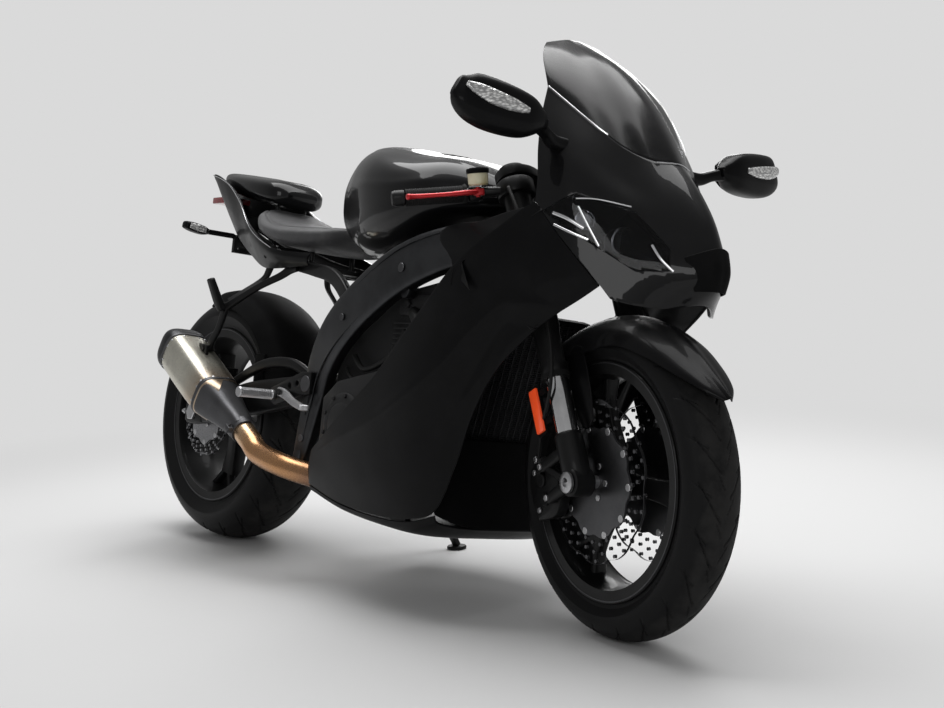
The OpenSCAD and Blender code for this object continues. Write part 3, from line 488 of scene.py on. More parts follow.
metal("grey_frame", (0.055, 0.056, 0.059), 0.40, (1, 1, 1), 1300, 0.00005, 0.08)
metal("silver_metal", (0.52, 0.52, 0.53), 0.33)
metal("polished_tube", (0.74, 0.74, 0.75), 0.12, (1, 1, 6), 260, 0.00001, 0.05)
metal("bright_edge", (0.80, 0.80, 0.82), 0.16, wear=0.04)
metal("dark_steel", (0.10, 0.10, 0.105), 0.42, wear=0.16)
metal("chain_steel", (0.20, 0.185, 0.16), 0.40, wear=0.2)
metal("gold_metal", (0.50, 0.36, 0.12), 0.30)
metal("radiator_core", (0.045, 0.045, 0.047), 0.5, (1, 1, 9), 700, 0.0003)
turned_metal("front_disc_steel", (0.11, 0.11, 0.115), 0.38, "front_wheel_spin")
turned_metal("rear_disc_steel", (0.30, 0.30, 0.31), 0.34, "rear_wheel_spin")

MUFFLER_DIR = Vector((-0.875, 0, 0.484)).normalized()
MUFFLER_FROM = Vector((345, -203, 300))
pipe_start = PARKED @ MUFFLER_FROM
pipe_way = (PARKED.to_3x3() @ MUFFLER_DIR).normalized()
look = metal("titanium", (0.60, 0.575, 0.505), 0.30, (1, 1, 1), 420, 0.00002, 0.08)
haze = look.along(pipe_start, pipe_way) + (look.noise(9, 3, 0.5) - 0.5) * 0.05
warm = look.mix(haze.ramp(0.12, 0.24), (0.36, 0.27, 0.19), (0.62, 0.60, 0.52))
look.put(Base_Color=look.mix(look.noise(30, 4, 0.6).ramp(0.4, 0.75, 0.0, 0.45), warm, (0.42, 0.41, 0.37)))
look = metal("heat_tinted", (0.58, 0.36, 0.20), 0.27, (1, 1, 1), 300, 0.00002, 0.1)
heat = look.along(pipe_start, pipe_way) + (look.noise(12, 3, 0.5) - 0.5) * 0.09
hot = look.mix(heat.ramp(-0.36, -0.18), (0.13, 0.085, 0.075), (0.50, 0.27, 0.13))
look.put(Base_Color=look.mix(heat.ramp(-0.12, 0.05), hot, (0.66, 0.50, 0.33)))
print("finishes so far:", len(looks))

# %% [markdown]
# Tyres, leather, the smoked screen and the lamps.

# %% Soft and clear finishes
def tyre_rubber(name, joint, crown):
    look = Look(name, (0.006, 0.006, 0.0062), 0.6, Specular_IOR_Level=0.12)
    spot = joints[joint]
    ring = look.from_axis(spot["pos_m"], spot["axis"])
    across = look.along(spot["pos_m"], spot["axis"])
    dust = look.noise(24, 6, 0.65)
    scrub = ring.ramp(crown - 0.03, crown - 0.004)
    look.put(Base_Color=look.mix((dust * scrub).ramp(0.25, 0.62, 0.0, 0.8), (0.007, 0.007, 0.0073),
                                 (0.022, 0.0215, 0.021)))
    look.put(Roughness=scrub.ramp(0.0, 1.0, 0.46, 0.70))
    mould = look.node("TexNoise", {"noise_dimensions": "1D"}, {"W": ring, "Scale": 700.0, "Detail": 1.0})
    grain = look.noise(1500, 2, 0.6)
    fine = look.node("TexNoise", {"noise_dimensions": "1D"}, {"W": across, "Scale": 520.0, "Detail": 1.0})
    look.bump(grain * 0.5 + mould * 0.25 + fine * 0.25, 0.0003, 0.5)
    looks[name] = look.material


tyre_rubber("front_tyre", "front_wheel_spin", 0.300)
tyre_rubber("rear_tyre", "rear_wheel_spin", 0.320)

look = Look("seat_leather", (0.035, 0.035, 0.037), 0.47, Specular_IOR_Level=0.5, Sheen_Weight=0.12,
            Sheen_Roughness=0.4)
cells = look.node("TexVoronoi", {"feature": "DISTANCE_TO_EDGE"}, {"Vector": look.where(), "Scale": 520.0})
creases = look.noise(55, 4, 0.6)
look.put(Roughness=look.noise(9, 4, 0.6).ramp(0.3, 0.7, 0.40, 0.56))
look.put(Base_Color=look.mix(creases.ramp(0.4, 0.7, 0.0, 0.5), (0.033, 0.033, 0.035), (0.052, 0.052, 0.054)))
look.bump(cells.ramp(0.0, 0.12) * 0.6 + creases * 1.4, 0.0007, 0.55)
looks["seat_leather"] = look.material

look = Look("smoked_screen", (0.0022, 0.0022, 0.0026), 0.2, Specular_IOR_Level=0.14, Coat_Weight=0.22,
            Coat_IOR=1.35, Coat_Roughness=0.12, Alpha=0.96)
look.put(Roughness=look.noise(20, 4, 0.6).ramp(0.3, 0.8, 0.18, 0.28))
looks["smoked_screen"] = look.material
look = Look("lamp_clear", (0.93, 0.94, 0.95), 0.02, Transmission_Weight=1.0, IOR=1.35)
look.put(Roughness=look.noise(40, 3, 0.5).ramp(0.4, 0.8, 0.01, 0.05))
looks["lamp_clear"] = look.material
look = Look("lamp_tint", (0.34, 0.345, 0.36), 0.03, Transmission_Weight=1.0, IOR=1.22)
look.put(Roughness=look.noise(40, 3, 0.5).ramp(0.4, 0.8, 0.02, 0.06))
looks["lamp_tint"] = look.material
look = Look("lamp_red", (0.20, 0.004, 0.006), 0.1, Coat_Weight=1.0)
look.bump(look.node("TexVoronoi", inputs={"Vector": look.where(), "Scale": 260.0}), 0.0006, 0.6)
looks["lamp_red"] = look.material
look = Look("signal_lens", (0.62, 0.62, 0.62), 0.08, 0.4, Coat_Weight=1.0)
facets = look.node("TexVoronoi", inputs={"Vector": look.where((1, 1, 2.4)), "Scale": 120.0})
look.put(Base_Color=look.mix(facets.ramp(0.1, 0.7), (0.88, 0.88, 0.86),
                             (0.30, 0.30, 0.30))).bump(facets, 0.0015, 0.7)
looks["signal_lens"] = look.material
look = Look("reservoir", (0.60, 0.55, 0.36), 0.22, Subsurface_Weight=0.0, Coat_Weight=0.6)
level = look.noise(30, 2, 0.5)
look.put(Base_Color=look.mix(level.ramp(0.35, 0.7), (0.66, 0.62, 0.44), (0.42, 0.35, 0.16)))
looks["reservoir"] = look.material
look = Look("mirror_glass", (0.78, 0.79, 0.80), 0.02, 1.0)
look.put(Roughness=look.noise(30, 3, 0.5).ramp(0.4, 0.8, 0.01, 0.04))
looks["mirror_glass"] = look.material
look = Look("dark_glass", (0.004, 0.004, 0.005), 0.05, Coat_Weight=1.0)
look.put(Roughness=look.noise(30, 3, 0.5).ramp(0.4, 0.8, 0.03, 0.09))
looks["dark_glass"] = look.material
print("finishes:", len(looks))

# %% [markdown]
# The floor and the background share one pale grey. The floor takes the bike's shadow close by and
# melts into the background further out. A wide soft light hangs overhead, with two fainter ones.

# %% Floor, background and lights
BACKGROUND = 0.701
scene = bpy.context.scene
world = bpy.data.worlds.new("studio")
scene.world = world
world.use_nodes = True
nodes, links = world.node_tree.nodes, world.node_tree.links
nodes.clear()
output = nodes.new("ShaderNodeOutputWorld")
chosen = nodes.new("ShaderNodeMixShader")
path = nodes.new("ShaderNodeLightPath")
seen = nodes.new("ShaderNodeMath")
seen.operation = "MAXIMUM"
links.new(path.outputs["Is Camera Ray"], seen.inputs[0])
links.new(path.outputs["Is Transmission Ray"], seen.inputs[1])
for index, level in ((1, 0.30), (2, BACKGROUND)):
    light = nodes.new("ShaderNodeBackground")
    light.inputs["Color"].default_value = (level, level, level, 1)
    light.inputs["Strength"].default_value = 1.0
    links.new(light.outputs[0], chosen.inputs[index])
links.new(seen.outputs[0], chosen.inputs[0])
links.new(chosen.outputs[0], output.inputs[0])

bm = bmesh.new()
bmesh.ops.create_circle(bm, cap_ends=True, segments=96, radius=26)
floor_mesh = bpy.data.meshes.new("floor")
bm.to_mesh(floor_mesh)
bm.free()
floor = bpy.data.objects.new("floor", floor_mesh)
scene.collection.objects.link(floor)
floor.location.z = -0.0006
FLOOR_COLOR = 0.66
look = Look("floor", (FLOOR_COLOR,) * 3, 0.9, Specular_IOR_Level=0.1)
far = look.from_axis((0.1, -0.1, 0), (0, 0, 1)).ramp(1.7, 3.4)
glow = look.tree.nodes.new("ShaderNodeEmission")
glow.inputs[0].default_value = (BACKGROUND,) * 3 + (1,)
blend = look.tree.nodes.new("ShaderNodeMixShader")
look.tree.links.new(far.socket, blend.inputs[0])
look.tree.links.new(look.surface.outputs[0], blend.inputs[1])
look.tree.links.new(glow.outputs[0], blend.inputs[2])
look.tree.links.new(blend.outputs[0], look.tree.nodes["Material Output"].inputs[0])
floor_mesh.materials.append(look.material)


def lamp(name, at, to, size, watts):
    data = bpy.data.lights.new(name, "AREA")
    data.shape = "RECTANGLE"
    data.size, data.size_y = size
    data.energy = watts
    obj = bpy.data.objects.new(name, data)
    obj.location = at
    obj.rotation_euler = (Vector(to) - Vector(at)).to_track_quat("-Z", "Y").to_euler()
    scene.collection.objects.link(obj)


lamp("overhead", (-0.3, 0.4, 3.4), (0, 0, 0.5), (3.6, 2.6), 142)
lamp("front_right", (3.2, -3.4, 2.2), (0.4, 0, 0.6), (1.8, 1.2), 22)
lamp("rear_left", (-2.6, 3.0, 2.0), (0, 0, 0.6), (1.6, 1.6), 40)
scene.view_settings.view_transform = "Standard"
scene.render.engine = "CYCLES"
scene.render.resolution_x, scene.render.resolution_y = 944, 708
print("stage is set")

# %% [markdown]
# ## Tyres and wheels
# A tyre is its own cross-section turned round the axle. The tread's grooves are pressed into the crown:
# each groove is a curved stroke that repeats round the tyre, and the points near it go inwards.

# %% Tyres
RIM_R = 218


def tyre(name, body, diameter, width, rim_width, centre, count, strokes, finish):
    rise = min(0.62 * (diameter / 2 - RIM_R), width / 2)
    angles = np.linspace(-88, 88, 89)
    outer = [(diameter / 2 - rise * (1 - math.cos(math.radians(a))), width / 2 * math.sin(math.radians(a)))
             for a in angles]
    bead = rim_width / 2 - 1
    side = [(RIM_R + 12, bead + 1), (RIM_R + 18, bead + 5.5)]
    lip = [(RIM_R + 0.5, bead), (RIM_R + 0.5, bead - 10)]
    inner = [(diameter / 2 - 9 - (rise - 2) * (1 - math.cos(math.radians(a))),
              (width / 2 - 9) * math.sin(math.radians(a)))
             for a in range(90, -91, -30)]
    mirror = lambda pts: [(r, -y) for r, y in reversed(pts)]
    profile = mirror(side) + outer + side[::-1] + lip + inner + mirror(lip)
    profile = np.array(profile)
    steps = 660
    turn = 2 * np.pi * np.arange(steps) / steps
    r = np.repeat(profile[None, :, 0], steps, 0)
    y = np.repeat(profile[None, :, 1], steps, 0)
    first, last = len(side), len(side) + len(outer)
    share = y[:, first:last] / (width / 2)
    press = np.zeros_like(share)
    pitch = 2 * np.pi / count
    for start, end, lag, sweep, curve, half, depth in strokes:
        for sign in (1, -1):
            s = share * sign
            t = np.clip((s - start) / (end - start), 0, 1)
            phase = lag + sweep * t + curve * t * t + (0.5 if sign < 0 else 0)
            gap = (turn[:, None] / pitch - phase + 0.5) % 1 - 0.5
            off = np.abs(gap) * pitch * diameter / 2
            along = np.clip(np.minimum(s - start, end - s) * width / 2 / 3.0, 0, 1)
            slope = 1 + abs(sweep + curve) * 0.35
            press = np.maximum(press, depth * np.clip((half * slope + 1.3 - off) / 1.3, 0, 1) * along)
    r[:, first:last] -= press
    x = centre[0] + r * np.cos(turn)[:, None]
    z = centre[2] + r * np.sin(turn)[:, None]
    points = np.stack([x, centre[1] + y, z], -1)
    n = len(profile)
    verts = points.reshape(-1, 3)
    faces = [(k * n + j, k * n + (j + 1) % n, (k + 1) % steps * n + (j + 1) % n, (k + 1) % steps * n + j)
             for k in range(steps) for j in range(n)]
    return piece(name, verts, faces, body, looks[finish], "tyre", name, smooth_angle=28)


REAR_AXLE = Vector((0, 0, REAR_Z))
# one stroke: where it starts and ends as shares of the half width, how far round it starts, how much it
# sweeps and curves round the tyre in pitches, half its width, and its depth
FRONT_STROKES = [(0.10, 0.80, 0.00, 0.55, 0.35, 1.6, 3.2), (0.42, 0.93, 0.52, 0.30, 0.10, 1.2, 2.4),
                 (0.02, 0.30, 0.62, 0.45, 0.00, 1.1, 2.2)]
REAR_STROKES = [(0.08, 0.74, 0.00, 0.60, 0.45, 2.0, 3.6), (0.36, 0.90, 0.50, 0.35, 0.15, 1.6, 3.0),
                (0.02, 0.26, 0.66, 0.40, 0.00, 1.2, 2.4)]
tyre("front_tyre", "front_wheel", 600, 120, 89, FRONT_AXLE, 22, FRONT_STROKES, "front_tyre")
tyre("rear_tyre", "rear_wheel", 640, 190, 152, REAR_AXLE, 22, REAR_STROKES, "rear_tyre")
print("tyre faces:", [len(made[n].data.polygons) for n in ("front_tyre", "rear_tyre")])

# %% [markdown]
# The wheels are cast: a rim barrel, a hub, and three spokes that each split into two arms near the
# rim. The spokes are bars with a hollow back.

# %% Wheels
def wheel(name, body, rim_width, hub_width, hub_r, centre, spoke_angle, spoke_width):
    c = Vector(centre)
    edge = rim_width / 2 + 6.5
    barrel = [(RIM_R - 15, -edge + 1.5), (RIM_R + 8.5, -edge), (RIM_R + 10, -edge + 1.5),
              (RIM_R + 10, -edge + 5), (RIM_R + 7, -edge + 6.5), (RIM_R + 0.3, -edge + 7),
              (RIM_R - 0.3, -20), (RIM_R - 6, 0), (RIM_R - 0.3, 20), (RIM_R + 0.3, edge - 7),
              (RIM_R + 7, edge - 6.5), (RIM_R + 10, edge - 5), (RIM_R + 10, edge - 1.5),
              (RIM_R + 8.5, edge), (RIM_R - 15, edge - 1.5), (RIM_R - 13.5, edge - 5),
              (RIM_R - 16, edge - 18), (RIM_R - 21, 14), (RIM_R - 23, 0), (RIM_R - 21, -14),
              (RIM_R - 16, -edge + 18), (RIM_R - 13.5, -edge + 5)]
    hub_half = hub_width / 2
    hub = [(12.6, -hub_half), (hub_r - 7, -hub_half), (hub_r - 5, -hub_half + 2),
           (hub_r - 4, -rim_width * 0.3), (hub_r + 3, -rim_width * 0.2), (hub_r + 4, 0),
           (hub_r + 3, rim_width * 0.2), (hub_r - 4, rim_width * 0.3), (hub_r - 5, hub_half - 2),
           (hub_r - 7, hub_half), (12.6, hub_half)]
    parts = [lathe(barrel, 144, c), lathe(hub, 72, c)]
    w, t = spoke_width, rim_width * 0.36
    for k in range(3):
        spin = Matrix.Translation(c) @ Matrix.Rotation(math.radians(spoke_angle + 120 * k), 4, "Y")
        root = bar([[0, 0, -hub_r + 8, w * 1.25, t], [0, 0, -hub_r - 22, w * 0.98, t * 0.9],
                    [0, 0, -118, w * 1.02, t * 0.8], [0, 0, -RIM_R + 62, w * 1.25, t * 0.8]], 4.5, 28, 6,
                   (1, 0, 0))
        arms = [bar([[s * 5, 0, -112, 15, t * 0.78], [s * w * 0.30, 0, -RIM_R + 66, 15, t * 0.8],
                     [s * w * 0.62, 0, -RIM_R + 42, 16, t * 0.9],
                     [s * w * 0.95, 0, -RIM_R + 18, 20, t * 1.05]],
                    4, 20, 6, (1, 0, 0)) for s in (-1, 1)]
        web = bar([[0, 0, -RIM_R + 70, w * 1.1, t * 0.34], [0, 0, -RIM_R + 16, w * 1.9, t * 0.34]], 6, 16,
                  4, (1, 0, 0))
        parts += [moved(p, spin) for p in (root, *arms, web)]
    return piece(name, *join_parts(*parts), body, looks["black_metal"], "black_metal", name, smooth_angle=40)


wheel("front_rim", "front_wheel", 89, 120, 34, FRONT_AXLE, 33, 42)
wheel("rear_rim", "rear_wheel", 152, 210, 48, REAR_AXLE, 10, 46)


# a thin grey metal ring round each rim flange: part pinstripe, part painted highlight along the rim's edge
def pinstripe_and_highlight(name, body, centre, y, r):
    part = lathe([(r - 1.2, y), (r + 1.2, y), (r + 1.2, y + math.copysign(0.5, y)),
                  (r - 1.2, y + math.copysign(0.5, y))],
                 144, centre)
    piece(name, *part, body, looks["dark_steel"], "black_metal")


for end, body, centre, y in (("front", "front_wheel", FRONT_AXLE, 51.2),
                             ("rear", "rear_wheel", REAR_AXLE, 82.7)):
    for side_name, s in (("left", 1), ("right", -1)):
        pinstripe_and_highlight(f"{end}_rim_edge_{side_name}", body, centre, s * y, RIM_R + 5.5)
valves = [moved(rod(3.2, 26, (0, 0, 0), "Z", 0.8, 16),
                Matrix.Translation(c) @ Matrix.Rotation(math.radians(a), 4, "Y")
                @ Matrix.Translation((0, 14, -RIM_R + 34))) for c, a in ((FRONT_AXLE, 70), (REAR_AXLE, 55))]
piece("front_valve", *valves[0], "front_wheel", looks["silver_metal"], "silver_metal")
piece("rear_valve", *valves[1], "rear_wheel", looks["silver_metal"], "silver_metal")

# %% [markdown]
# The brake discs have a wavy edge and rows of small holes, and float on ten bobbins on a dark carrier.

# %% Brake discs
def brake_disc(name, node, body, centre, y, r, inner_r, bore_r, finish, waves=10, thickness=5):
    def at(radius, angle):
        """The x and z of a point on the disc."""
        return (centre[0] + radius * math.cos(angle), centre[2] + radius * math.sin(angle))

    def wavy(radius, depth, lag):
        return [at(radius - depth * (0.5 + 0.5 * math.cos(waves * a + lag)) ** 1.6, a)
                for a in (2 * math.pi * k / 240 for k in range(240))]

    band = r - inner_r - 20
    holes = []
    for k in range(waves * 3):
        a = 2 * math.pi * (k + 0.5) / (waves * 3)
        for row in range(3):
            rr = inner_r + 24 + band * (0.12 + 0.34 * row) + 0.05 * band * (k % 3 - 1)
            aa = a + (row - 1) * 0.05
            holes.append(circle(*at(rr, aa), 3.3, 12))
    outline = wavy(r - 0.3, 6, 0)
    ring = plate(outline, [wavy(inner_r + 22, 7, math.pi), *holes], thickness, y, 0.4)
    piece(name + "_ring", *ring, body, looks[finish], "disc_steel", node)
    side = math.copysign(1, y)
    slots = []
    for k in range(waves):
        a = 2 * math.pi * (k + 0.5) / waves
        rr = (bore_r + 18 + inner_r + 4) / 2
        slots.append([at(rr + (inner_r - bore_r - 20) * 0.42 * math.cos(t), a + 0.17 * math.sin(t))
                      for t in (2 * math.pi * j / 20 for j in range(20))])
    arms = [at(inner_r + 8 + 14 * max(0, math.cos(waves * t)) ** 2, t)
            for t in (2 * math.pi * k / 240 for k in range(240))]
    carrier = plate(arms, [circle(centre[0], centre[2], bore_r, 40), *slots], thickness - 0.8, y, 0.5)
    piece(name + "_carrier", *carrier, body, looks["matt_black"], "disc_steel")
    bobbins = [rod(7.2, 6.6, (centre[0] + (inner_r + 17) * math.cos(a), y,
                              centre[2] + (inner_r + 17) * math.sin(a)), "Y", 0.8, 20)
               for a in (2 * math.pi * k / waves for k in range(waves))]
    bolts = [rod(6.5, 3.0, (centre[0] + (bore_r + 12) * math.cos(a), y + side * 3.6,
                            centre[2] + (bore_r + 12) * math.sin(a)), "Y", 0.8, 6)
             for a in (2 * math.pi * k / 5 for k in range(5))]
    piece(name + "_bobbins", *join_parts(*bobbins, *bolts), body, looks["silver_metal"], "silver_metal")


for side_name, s in (("left", 1), ("right", -1)):
    brake_disc(f"front_disc_{side_name}", "front_discs", "front_wheel", FRONT_AXLE, s * 62.8, 155, 84, 19,
               "front_disc_steel")
brake_disc("rear_disc", "rear_disc", "rear_wheel", REAR_AXLE, -107.8, 110, 58, 19, "rear_disc_steel", 8)
print("wheels and discs:", len(made))

# %% [markdown]
# ## Bodywork
# The panels are smooth sheets through the same tables as the CAD model. Creases and returned edges make
# them read as moulded panels. `whole` mirrors a right side's table and joins it over the middle.

# %% Panel helpers
def whole(right, middle=None):
    left = [[(p[0], -p[1], p[2]) for p in row] for row in right[::-1]]
    return right + ([middle] if middle else []) + left


def surface_sheet(name, rows, thickness, body, finish, slot, stands_for=(), across=8, along=8, cuts=(),
                  bevel=1.2, keep=None, shape=None):
    """One panel: the table's outer face, cut to its outline, then given its thickness and soft edges."""
    grid = smooth_grid(rows, across, along)
    if shape:
        grid = shape(grid)
    n, m = grid.shape[:2]
    verts = [tuple(p) for p in grid.reshape(-1, 3)]
    faces = [(i * m + j, (i + 1) * m + j, (i + 1) * m + j + 1, i * m + j + 1) for i in range(n - 1)
             for j in range(m - 1)]
    bm = bmesh.new()
    vs = [bm.verts.new(v) for v in verts]
    for f in faces:
        bm.faces.new([vs[i] for i in f])
    for outline, wanted, where in cuts:
        cut_outline(bm, outline, wanted, where)
    if keep:
        gone = [f for f in bm.faces if not keep(f.calc_center_median())]
        bmesh.ops.delete(bm, geom=gone, context="FACES")
    bm.verts.index_update()
    part = ([tuple(v.co) for v in bm.verts], [tuple(v.index for v in f.verts) for f in bm.faces])
    bm.free()
    mesh_verts = [PLACE[body] @ Vector(v) for v in part[0]]
    mesh = bpy.data.meshes.new(name)
    mesh.from_pydata(mesh_verts, [], part[1])
    mesh.validate()
    return finish_piece(name, mesh, body, looks[finish], slot, stands_for, 38,
                        [("SOLIDIFY", {"thickness": thickness * MM, "offset": -1.0,
                                       "use_even_offset": True}),
                         ("BEVEL", {"width": bevel * MM, "segments": 2, "limit_method": "ANGLE",
                                    "angle_limit": 0.9})])


def cut_outline(bm, outline, wanted, where=lambda c: True):
    """Knife an x-z outline through the skin and drop one side of it, where the piece is in reach."""
    pts = [Vector((x, 0, z)) for x, z in outline]
    for a, b in zip(pts, pts[1:] + pts[:1]):
        edge = b - a
        normal = Vector((edge.z, 0, -edge.x)).normalized()
        geom = [f for f in bm.faces if where(f.calc_center_median())]
        geom += list({e for f in geom for e in f.edges}) + list({v for f in geom for v in f.verts})
        bmesh.ops.bisect_plane(bm, geom=geom, dist=1e-4, plane_co=a, plane_no=normal)

    def inside(c):
        hit = False
        for (x0, z0), (x1, z1) in zip(outline, list(outline[1:]) + [outline[0]]):
            if (z0 > c.z) != (z1 > c.z) and c.x < (x1 - x0) * (c.z - z0) / (z1 - z0) + x0:
                hit = not hit
        return hit

    gone = [f for f in bm.faces
            if where(f.calc_center_median()) and inside(f.calc_center_median()) != wanted]
    bmesh.ops.delete(bm, geom=gone, context="FACES")


def strip(points, width, thickness, across=(0, 0, 1)):
    """A thin raised line along points, such as a trim edge."""
    return bar([[*p, width, thickness] for p in points], 3, 10, 8, across)


# %% [markdown]
# The nose: an upper fairing from the screen's base down to the parting line, with the two slanted
# headlights cut into it and a deep intake between them.

# %% Nose fairing, headlights and screen
NOSE = [[(1326, -214, 788), (1325, -213, 850), (1312, -208, 910), (1298, -195, 975), (1282, -172, 1040)],
        [(1377, -198, 732), (1392, -190, 810), (1385, -180, 870), (1375, -160, 920), (1360, -130, 975)],
        [(1450, -153, 646), (1462, -135, 735), (1458, -120, 810), (1440, -100, 865), (1420, -85, 925)],
        [(1530, -80, 625), (1548, -75, 700), (1528, -66, 775), (1502, -56, 840), (1462, -45, 905)]]
NOSE_TIP = [(1575, 0, 640), (1612, 0, 692), (1584, 0, 780), (1535, 0, 850), (1478, 0, 908)]
PARTING = [(1270, 860), (1335, 800), (1385, 742), (1456, 655), (1500, 595)]
LAMP = [(1345, 790), (1400, 826), (1480, 800), (1545, 735), (1552, 694), (1500, 690), (1440, 728)]
below_line = [(1150, 980), *[p for p in PARTING], (1500, 400), (1100, 400)]
surface_sheet("nose_fairing", whole(NOSE, NOSE_TIP), 4, "chassis", "gloss_black", "gloss_black",
              "nose_fairing", 9, 9, cuts=[(below_line, False, lambda c: c.z < 980),
                                          (LAMP, False, lambda c: abs(c.y) > 30)])

# bright lines along each lamp: its brow, its outer and inner edges, and two blades beside it
LAMP_LINES = [("brow", [(1402, 815), (1429, 817), (1471, 809)], 2.6),
              ("outer", [(1407, 801), (1425, 766), (1444, 730)], 4.5),
              ("blade_upper", [(1366, 787), (1392, 777), (1419, 761)], 6),
              ("blade_lower", [(1370, 765), (1399, 752), (1428, 740)], 4),
              ("inner", [(1518, 740), (1536, 715), (1556, 694)], 4.5)]
grid = smooth_grid(whole(NOSE, NOSE_TIP), 9, 9)


def nose_half(x, z):
    """Half the nose's width at x and z."""
    half = grid[: grid.shape[0] // 2 + 1].reshape(-1, 3)
    near = half[np.argsort((half[:, 0] - x) ** 2 + (half[:, 2] - z) ** 2)[:6]]
    weight = 1 / ((near[:, 0] - x) ** 2 + (near[:, 2] - z) ** 2 + 4)
    return abs(float((near[:, 1] * weight).sum() / weight.sum()))


for side_name, s in (("right", -1), ("left", 1)):
    where = (lambda c: c.y < -33) if s < 0 else (lambda c: c.y > 33)
    lens = surface_sheet(f"headlight_lens_{side_name}", whole(NOSE, NOSE_TIP), 2.5, "chassis", "lamp_tint",
                         "lamp_clear", "headlights" if s < 0 else (), 9, 9, cuts=[(LAMP, True, where)],
                         keep=where)
    # what is behind the lens: a black tray, a round projector, a second small lamp and the bright blade
    tray = []
    for x, z in LAMP + [LAMP[0]]:
        half = nose_half(x, z)
        tray.append([(x - 3, s * (half - 3), z), (x - 34, s * (half - 12), z),
                     (1403 + (x - 1455) * 0.5, s * 96, 757 + (z - 757) * 0.5), (1400, s * 96, 757)])
    rows_grid = np.array(tray)
    n, m = rows_grid.shape[:2]
    tray_mesh = ([tuple(p) for p in rows_grid.reshape(-1, 3)],
                 [(i * m + j, (i + 1) * m + j, (i + 1) * m + j + 1, i * m + j + 1) for i in range(n - 1)
                  for j in range(m - 1)])
    obj = piece(f"headlight_tray_{side_name}", *tray_mesh, "chassis", looks["matt_black"], "matt_black",
                extra=[("SOLIDIFY", {"thickness": 0.0015, "offset": 1.0})])
    aim = Matrix.Translation((1448, s * (nose_half(1478, 745) - 26),
                              745)) @ Matrix.Rotation(math.radians(s * 14), 4, "Z")
    piece(f"headlight_projector_{side_name}", *moved(lathe(
        [(0.01, -30), (26, -28), (29, -6), (29, 4), (26, 6), (24, 2), (23, -4), (0.01, -5)], 40, axis="X"),
                                                     aim), "chassis",
        looks["silver_metal"], "silver_metal")
    piece(f"headlight_eye_{side_name}", *moved(lathe(
        [(0.01, 13), (8, 12), (15, 8.5), (20, 3), (22.5, -3.5), (0.01, -4)], 40, axis="X"), aim), "chassis",
        looks["lamp_clear"], "lamp_clear")
    aim2 = Matrix.Translation((1398, s * (nose_half(1420, 782) - 18),
                               780)) @ Matrix.Rotation(math.radians(s * 30), 4, "Z")
    piece(f"headlight_second_{side_name}", *moved(lathe(
        [(0.01, -16), (14, -12), (19, 2), (17.5, 2.5), (13, -8), (0.01, -10)], 32, axis="X"), aim2),
          "chassis",
        looks["mirror_glass"], "silver_metal")
    for label, line, width in LAMP_LINES:
        points = [(x + 1, s * (nose_half(x, z) + 1), z) for x, z in line]
        piece(f"headlight_{label}_{side_name}", *strip(points, width, 2.4), "chassis",
              looks["silver_metal" if label == "brow" else "bright_edge"], "silver_metal")

SCREEN = [[(1281.5, -172, 1040.9), (1262, -165, 1075), (1236, -150, 1105), (1205, -125, 1135),
           (1182, -100, 1155)],
          [(1359.4, -130, 975.8), (1325, -125, 1030), (1285, -112, 1080), (1235, -92, 1128),
           (1180, -62, 1168)],
          [(1419.4, -85, 925.8), (1375, -80, 992), (1322, -72, 1060), (1258, -60, 1120), (1178, -38, 1175)],
          [(1461.4, -45, 905.8), (1408, -42, 985), (1345, -38, 1058), (1270, -30, 1122), (1174, -18, 1178)]]
SCREEN_MID = [(1477.4, 0, 908.8), (1420, 0, 985), (1352, 0, 1060), (1274, 0, 1125), (1172, 0, 1180)]
surface_sheet("windscreen", whole(SCREEN, SCREEN_MID), 3.5, "chassis", "smoked_screen", "smoked_screen",
              "windscreen", 8, 8, bevel=1.0)
base = [(p[0][0] + 4, p[0][1] * 1.01, p[0][2] - 2)
        for p in SCREEN] + [(SCREEN_MID[0][0] + 4, 0, SCREEN_MID[0][2] - 2)]
sides = [base[0], base[1], tuple((np.array(base[1]) + base[2]) / 2)]
centre = base[3:] + [(x, -y, z) for x, y, z in base[3:-1][::-1]]
piece("screen_base_lines", *join_parts(both(strip(sides, 2.6, 2)), strip(centre, 2, 2)),
      "chassis", looks["bright_edge"], "silver_metal")
intake = [[(1556, -52, 722), (1566, -42, 688), (1572, -34, 662)], [(1588, -24, 738), (1600, -20, 700),
                                                                   (1596, -16, 664)],
          [(1593, 0, 744), (1604, 0, 704), (1600, 0, 664)], [(1588, 24, 738), (1600, 20, 700),
                                                             (1596, 16, 664)],
          [(1556, 52, 722), (1566, 42, 688), (1572, 34, 662)]]
intake = [[(x + 8, y, z) for x, y, z in row] for row in intake]
surface_sheet("nose_intake", intake, 5, "chassis", "matt_black", "matt_black", (), 8, 8)
print("nose, lamps and screen made")

# %% [markdown]
# Side fairings and belly pan. A crease runs from the nose to the middle of each side, and the belly
# rises to the rear.

